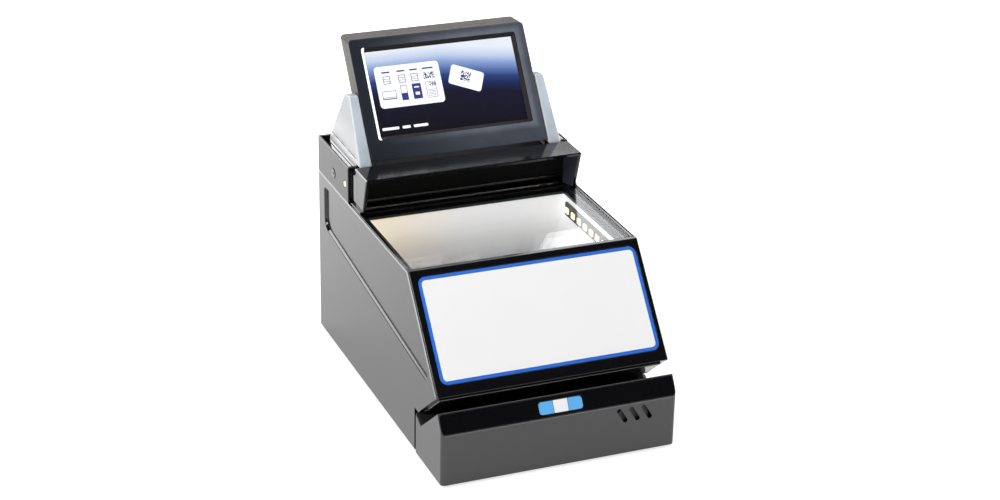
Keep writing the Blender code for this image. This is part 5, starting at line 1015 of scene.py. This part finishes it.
def screen_pictures():
    """Plain pictures of the documents that a reader takes, and a phone that shows a code."""
    tip, near_white = 22.0, (0.96, 0.97, 1.0)
    on_screen("screen_panel", [plate(3.9, 9.2, 44.3, 34.7, 2.2), plate(49.6, 15.8, 70.4, 28.0, 1.6, tip)], 0,
              lit_ink("screen_white", near_white, 1.3))
    dark = []
    for left in (8.4, 17.9, 25.8):
        dark += ring_of(left, 15.4, left + 4.4, 20.2, 0.35)
        dark += [plate(left + 0.35, 17.0, left + 4.05, 17.25), plate(left + 0.35, 18.5, left + 4.05, 18.75)]
    dark += code_cells(33.6, 15.4, 0.52, 13, 8)
    for left, right in ((8.2, 13.2), (17.6, 22.6), (25.6, 30.4), (33.6, 40.4)):
        dark.append(plate(left, 12.6, right, 13.5))
    dark += ring_of(6.2, 24.4, 15.0, 29.6, 0.30)
    dark += [plate(6.5, 28.2, 14.7, 28.5), plate(6.5, 29.0, 14.7, 29.3)]
    dark += ring_of(18.0, 21.8, 22.1, 31.0, 0.30) + [plate(18.3, 26.6, 21.8, 30.7)]
    dark += [plate(25.3, 21.6, 30.9, 31.0, 0.4)]
    dark += ring_of(33.9, 21.4, 40.4, 31.1, 0.25) + code_cells(36.4, 22.0, 0.42, 9, 5, seed=9)
    dark += [plate(34.6, 26.2 + step, 39.7, 26.42 + step) for step in (0.0, 0.9, 1.8, 2.7, 3.6)]
    dark += code_cells(56.8, 17.9, 0.66, 9, 9, tip, 7)
    on_screen("screen_marks", dark, 1, lit_ink("screen_navy", (0.035, 0.045, 0.26), 1.0))
    light = [plate(26.6, 23.4, 29.6, 24.2), plate(26.8, 26.8, 29.4, 28.6, 0.2)]
    light += [plate(*ends, 0.5) for ends in ((2.0, 46.3, 12.5, 47.9), (14.6, 46.3, 19.6, 47.9),
                                             (21.6, 46.3, 30.6, 47.9))]
    on_screen("screen_light_marks", light, 2, lit_ink("screen_pale", near_white, 1.3))


# The stage

def make_stage():
    """The pale floor and the surroundings."""
    reach, thickness = 6.0, 0.01
    floor = as_object("floor", block((-reach, -reach, -thickness), (reach, reach, 0.0)), None)
    pale = Finish("pale_floor", Base_Color=(0.55, 0.55, 0.55), Roughness=0.9, Emission_Strength=1.0)
    away = pale.node("ShaderNodeVectorMath", {"operation": "LENGTH"}, {0: pale.place()}, 1)
    pale.set(Emission_Color=pale.mix(away.ramp(0.10, 0.50), (0.74, 0.74, 0.74), (1.4, 1.4, 1.4)))
    floor.data.materials[0] = pale.material
    world = bpy.data.worlds.new("studio")
    bpy.context.scene.world = world
    world.use_nodes = True
    tree = world.node_tree
    backdrop = tree.nodes["Background"]
    backdrop.inputs["Color"].default_value = (1.0, 1.0, 1.0, 1.0)
    seen = tree.nodes.new("ShaderNodeLightPath")
    level = tree.nodes.new("ShaderNodeMapRange")
    for socket, strength in ((3, 0.03), (4, 1.0)):
        level.inputs[socket].default_value = strength
    tree.links.new(seen.outputs["Is Camera Ray"], level.inputs[0])
    tree.links.new(level.outputs[0], backdrop.inputs["Strength"])


def add_light(name, place, target, size, power):
    """A soft rectangular light that looks at a point."""
    lamp = bpy.data.lights.new(name, "AREA")
    lamp.shape = "RECTANGLE"
    lamp.size, lamp.size_y = size
    lamp.energy = power
    item = bpy.data.objects.new(name, lamp)
    bpy.context.scene.collection.objects.link(item)
    item.location = place
    item.rotation_euler = (Vector(target) - Vector(place)).to_track_quat("-Z", "Y").to_euler()


def make_camera():
    """The photograph's camera."""
    yaw, pitch, roll = radians(-22.4855), radians(24.0274), radians(1.1894)
    distance, shift_right, shift_up = 1.27452, 0.0046339, 0.0245931
    focal_pixels, picture_pixels, sensor_mm = 2229.59, 1000.0, 36.0
    towards = Vector((sin(yaw) * cos(pitch), -cos(yaw) * cos(pitch), sin(pitch)))
    level = Vector((cos(yaw), sin(yaw), 0.0))
    upright = towards.cross(level)
    right = level * cos(roll) + upright * sin(roll)
    up = upright * cos(roll) - level * sin(roll)
    aim = Vector((0.0, 0.080 - DEPTH / 2, 0.070 + FOOT_PROUD))
    place = aim + towards * distance - right * shift_right + up * shift_up
    lens = bpy.data.cameras.new("camera")
    lens.sensor_width = sensor_mm
    lens.lens = focal_pixels * sensor_mm / picture_pixels
    lens.clip_end = 50.0
    camera = bpy.data.objects.new("camera", lens)
    bpy.context.scene.collection.objects.link(camera)
    turn = Matrix((right, up, towards)).transposed().to_4x4()
    camera.matrix_world = Matrix.Translation(place) @ turn
    bpy.context.scene.camera = camera


side_panel("left_side_panel", -1)
side_panel("right_side_panel", 1)
front_block()
inlay_and_lights()
front_plate()
glass_frame()
hood()
rear_cover()
cheek("left_cheek", -1)
cheek("right_cheek", 1)
display()
screen_pictures()
make_stage()
reader_middle = (0.0, 0.0, 0.1)
add_light("overhead", (0.0, 0.35, 1.6), (0.0, 0.35, 0.0), (1.8, 1.7), 27.0)
add_light("left_side", (-1.5, -0.32, 0.8), reader_middle, (0.45, 0.45), 11.0)
add_light("rear_left", (-0.79, 1.65, 0.91), reader_middle, (0.55, 0.75), 10.0)
add_light("backdrop", (0.76, 1.84, 1.16), reader_middle, (1.1, 0.48), 5.5)
add_light("right_rear", (1.25, 0.62, 0.26), reader_middle, (0.8, 0.50), 8.0)
add_light("front_low", (0.75, -2.0, 0.30), reader_middle, (1.2, 0.25), 10.0)
make_camera()
bpy.context.scene.view_settings.view_transform = "Standard"
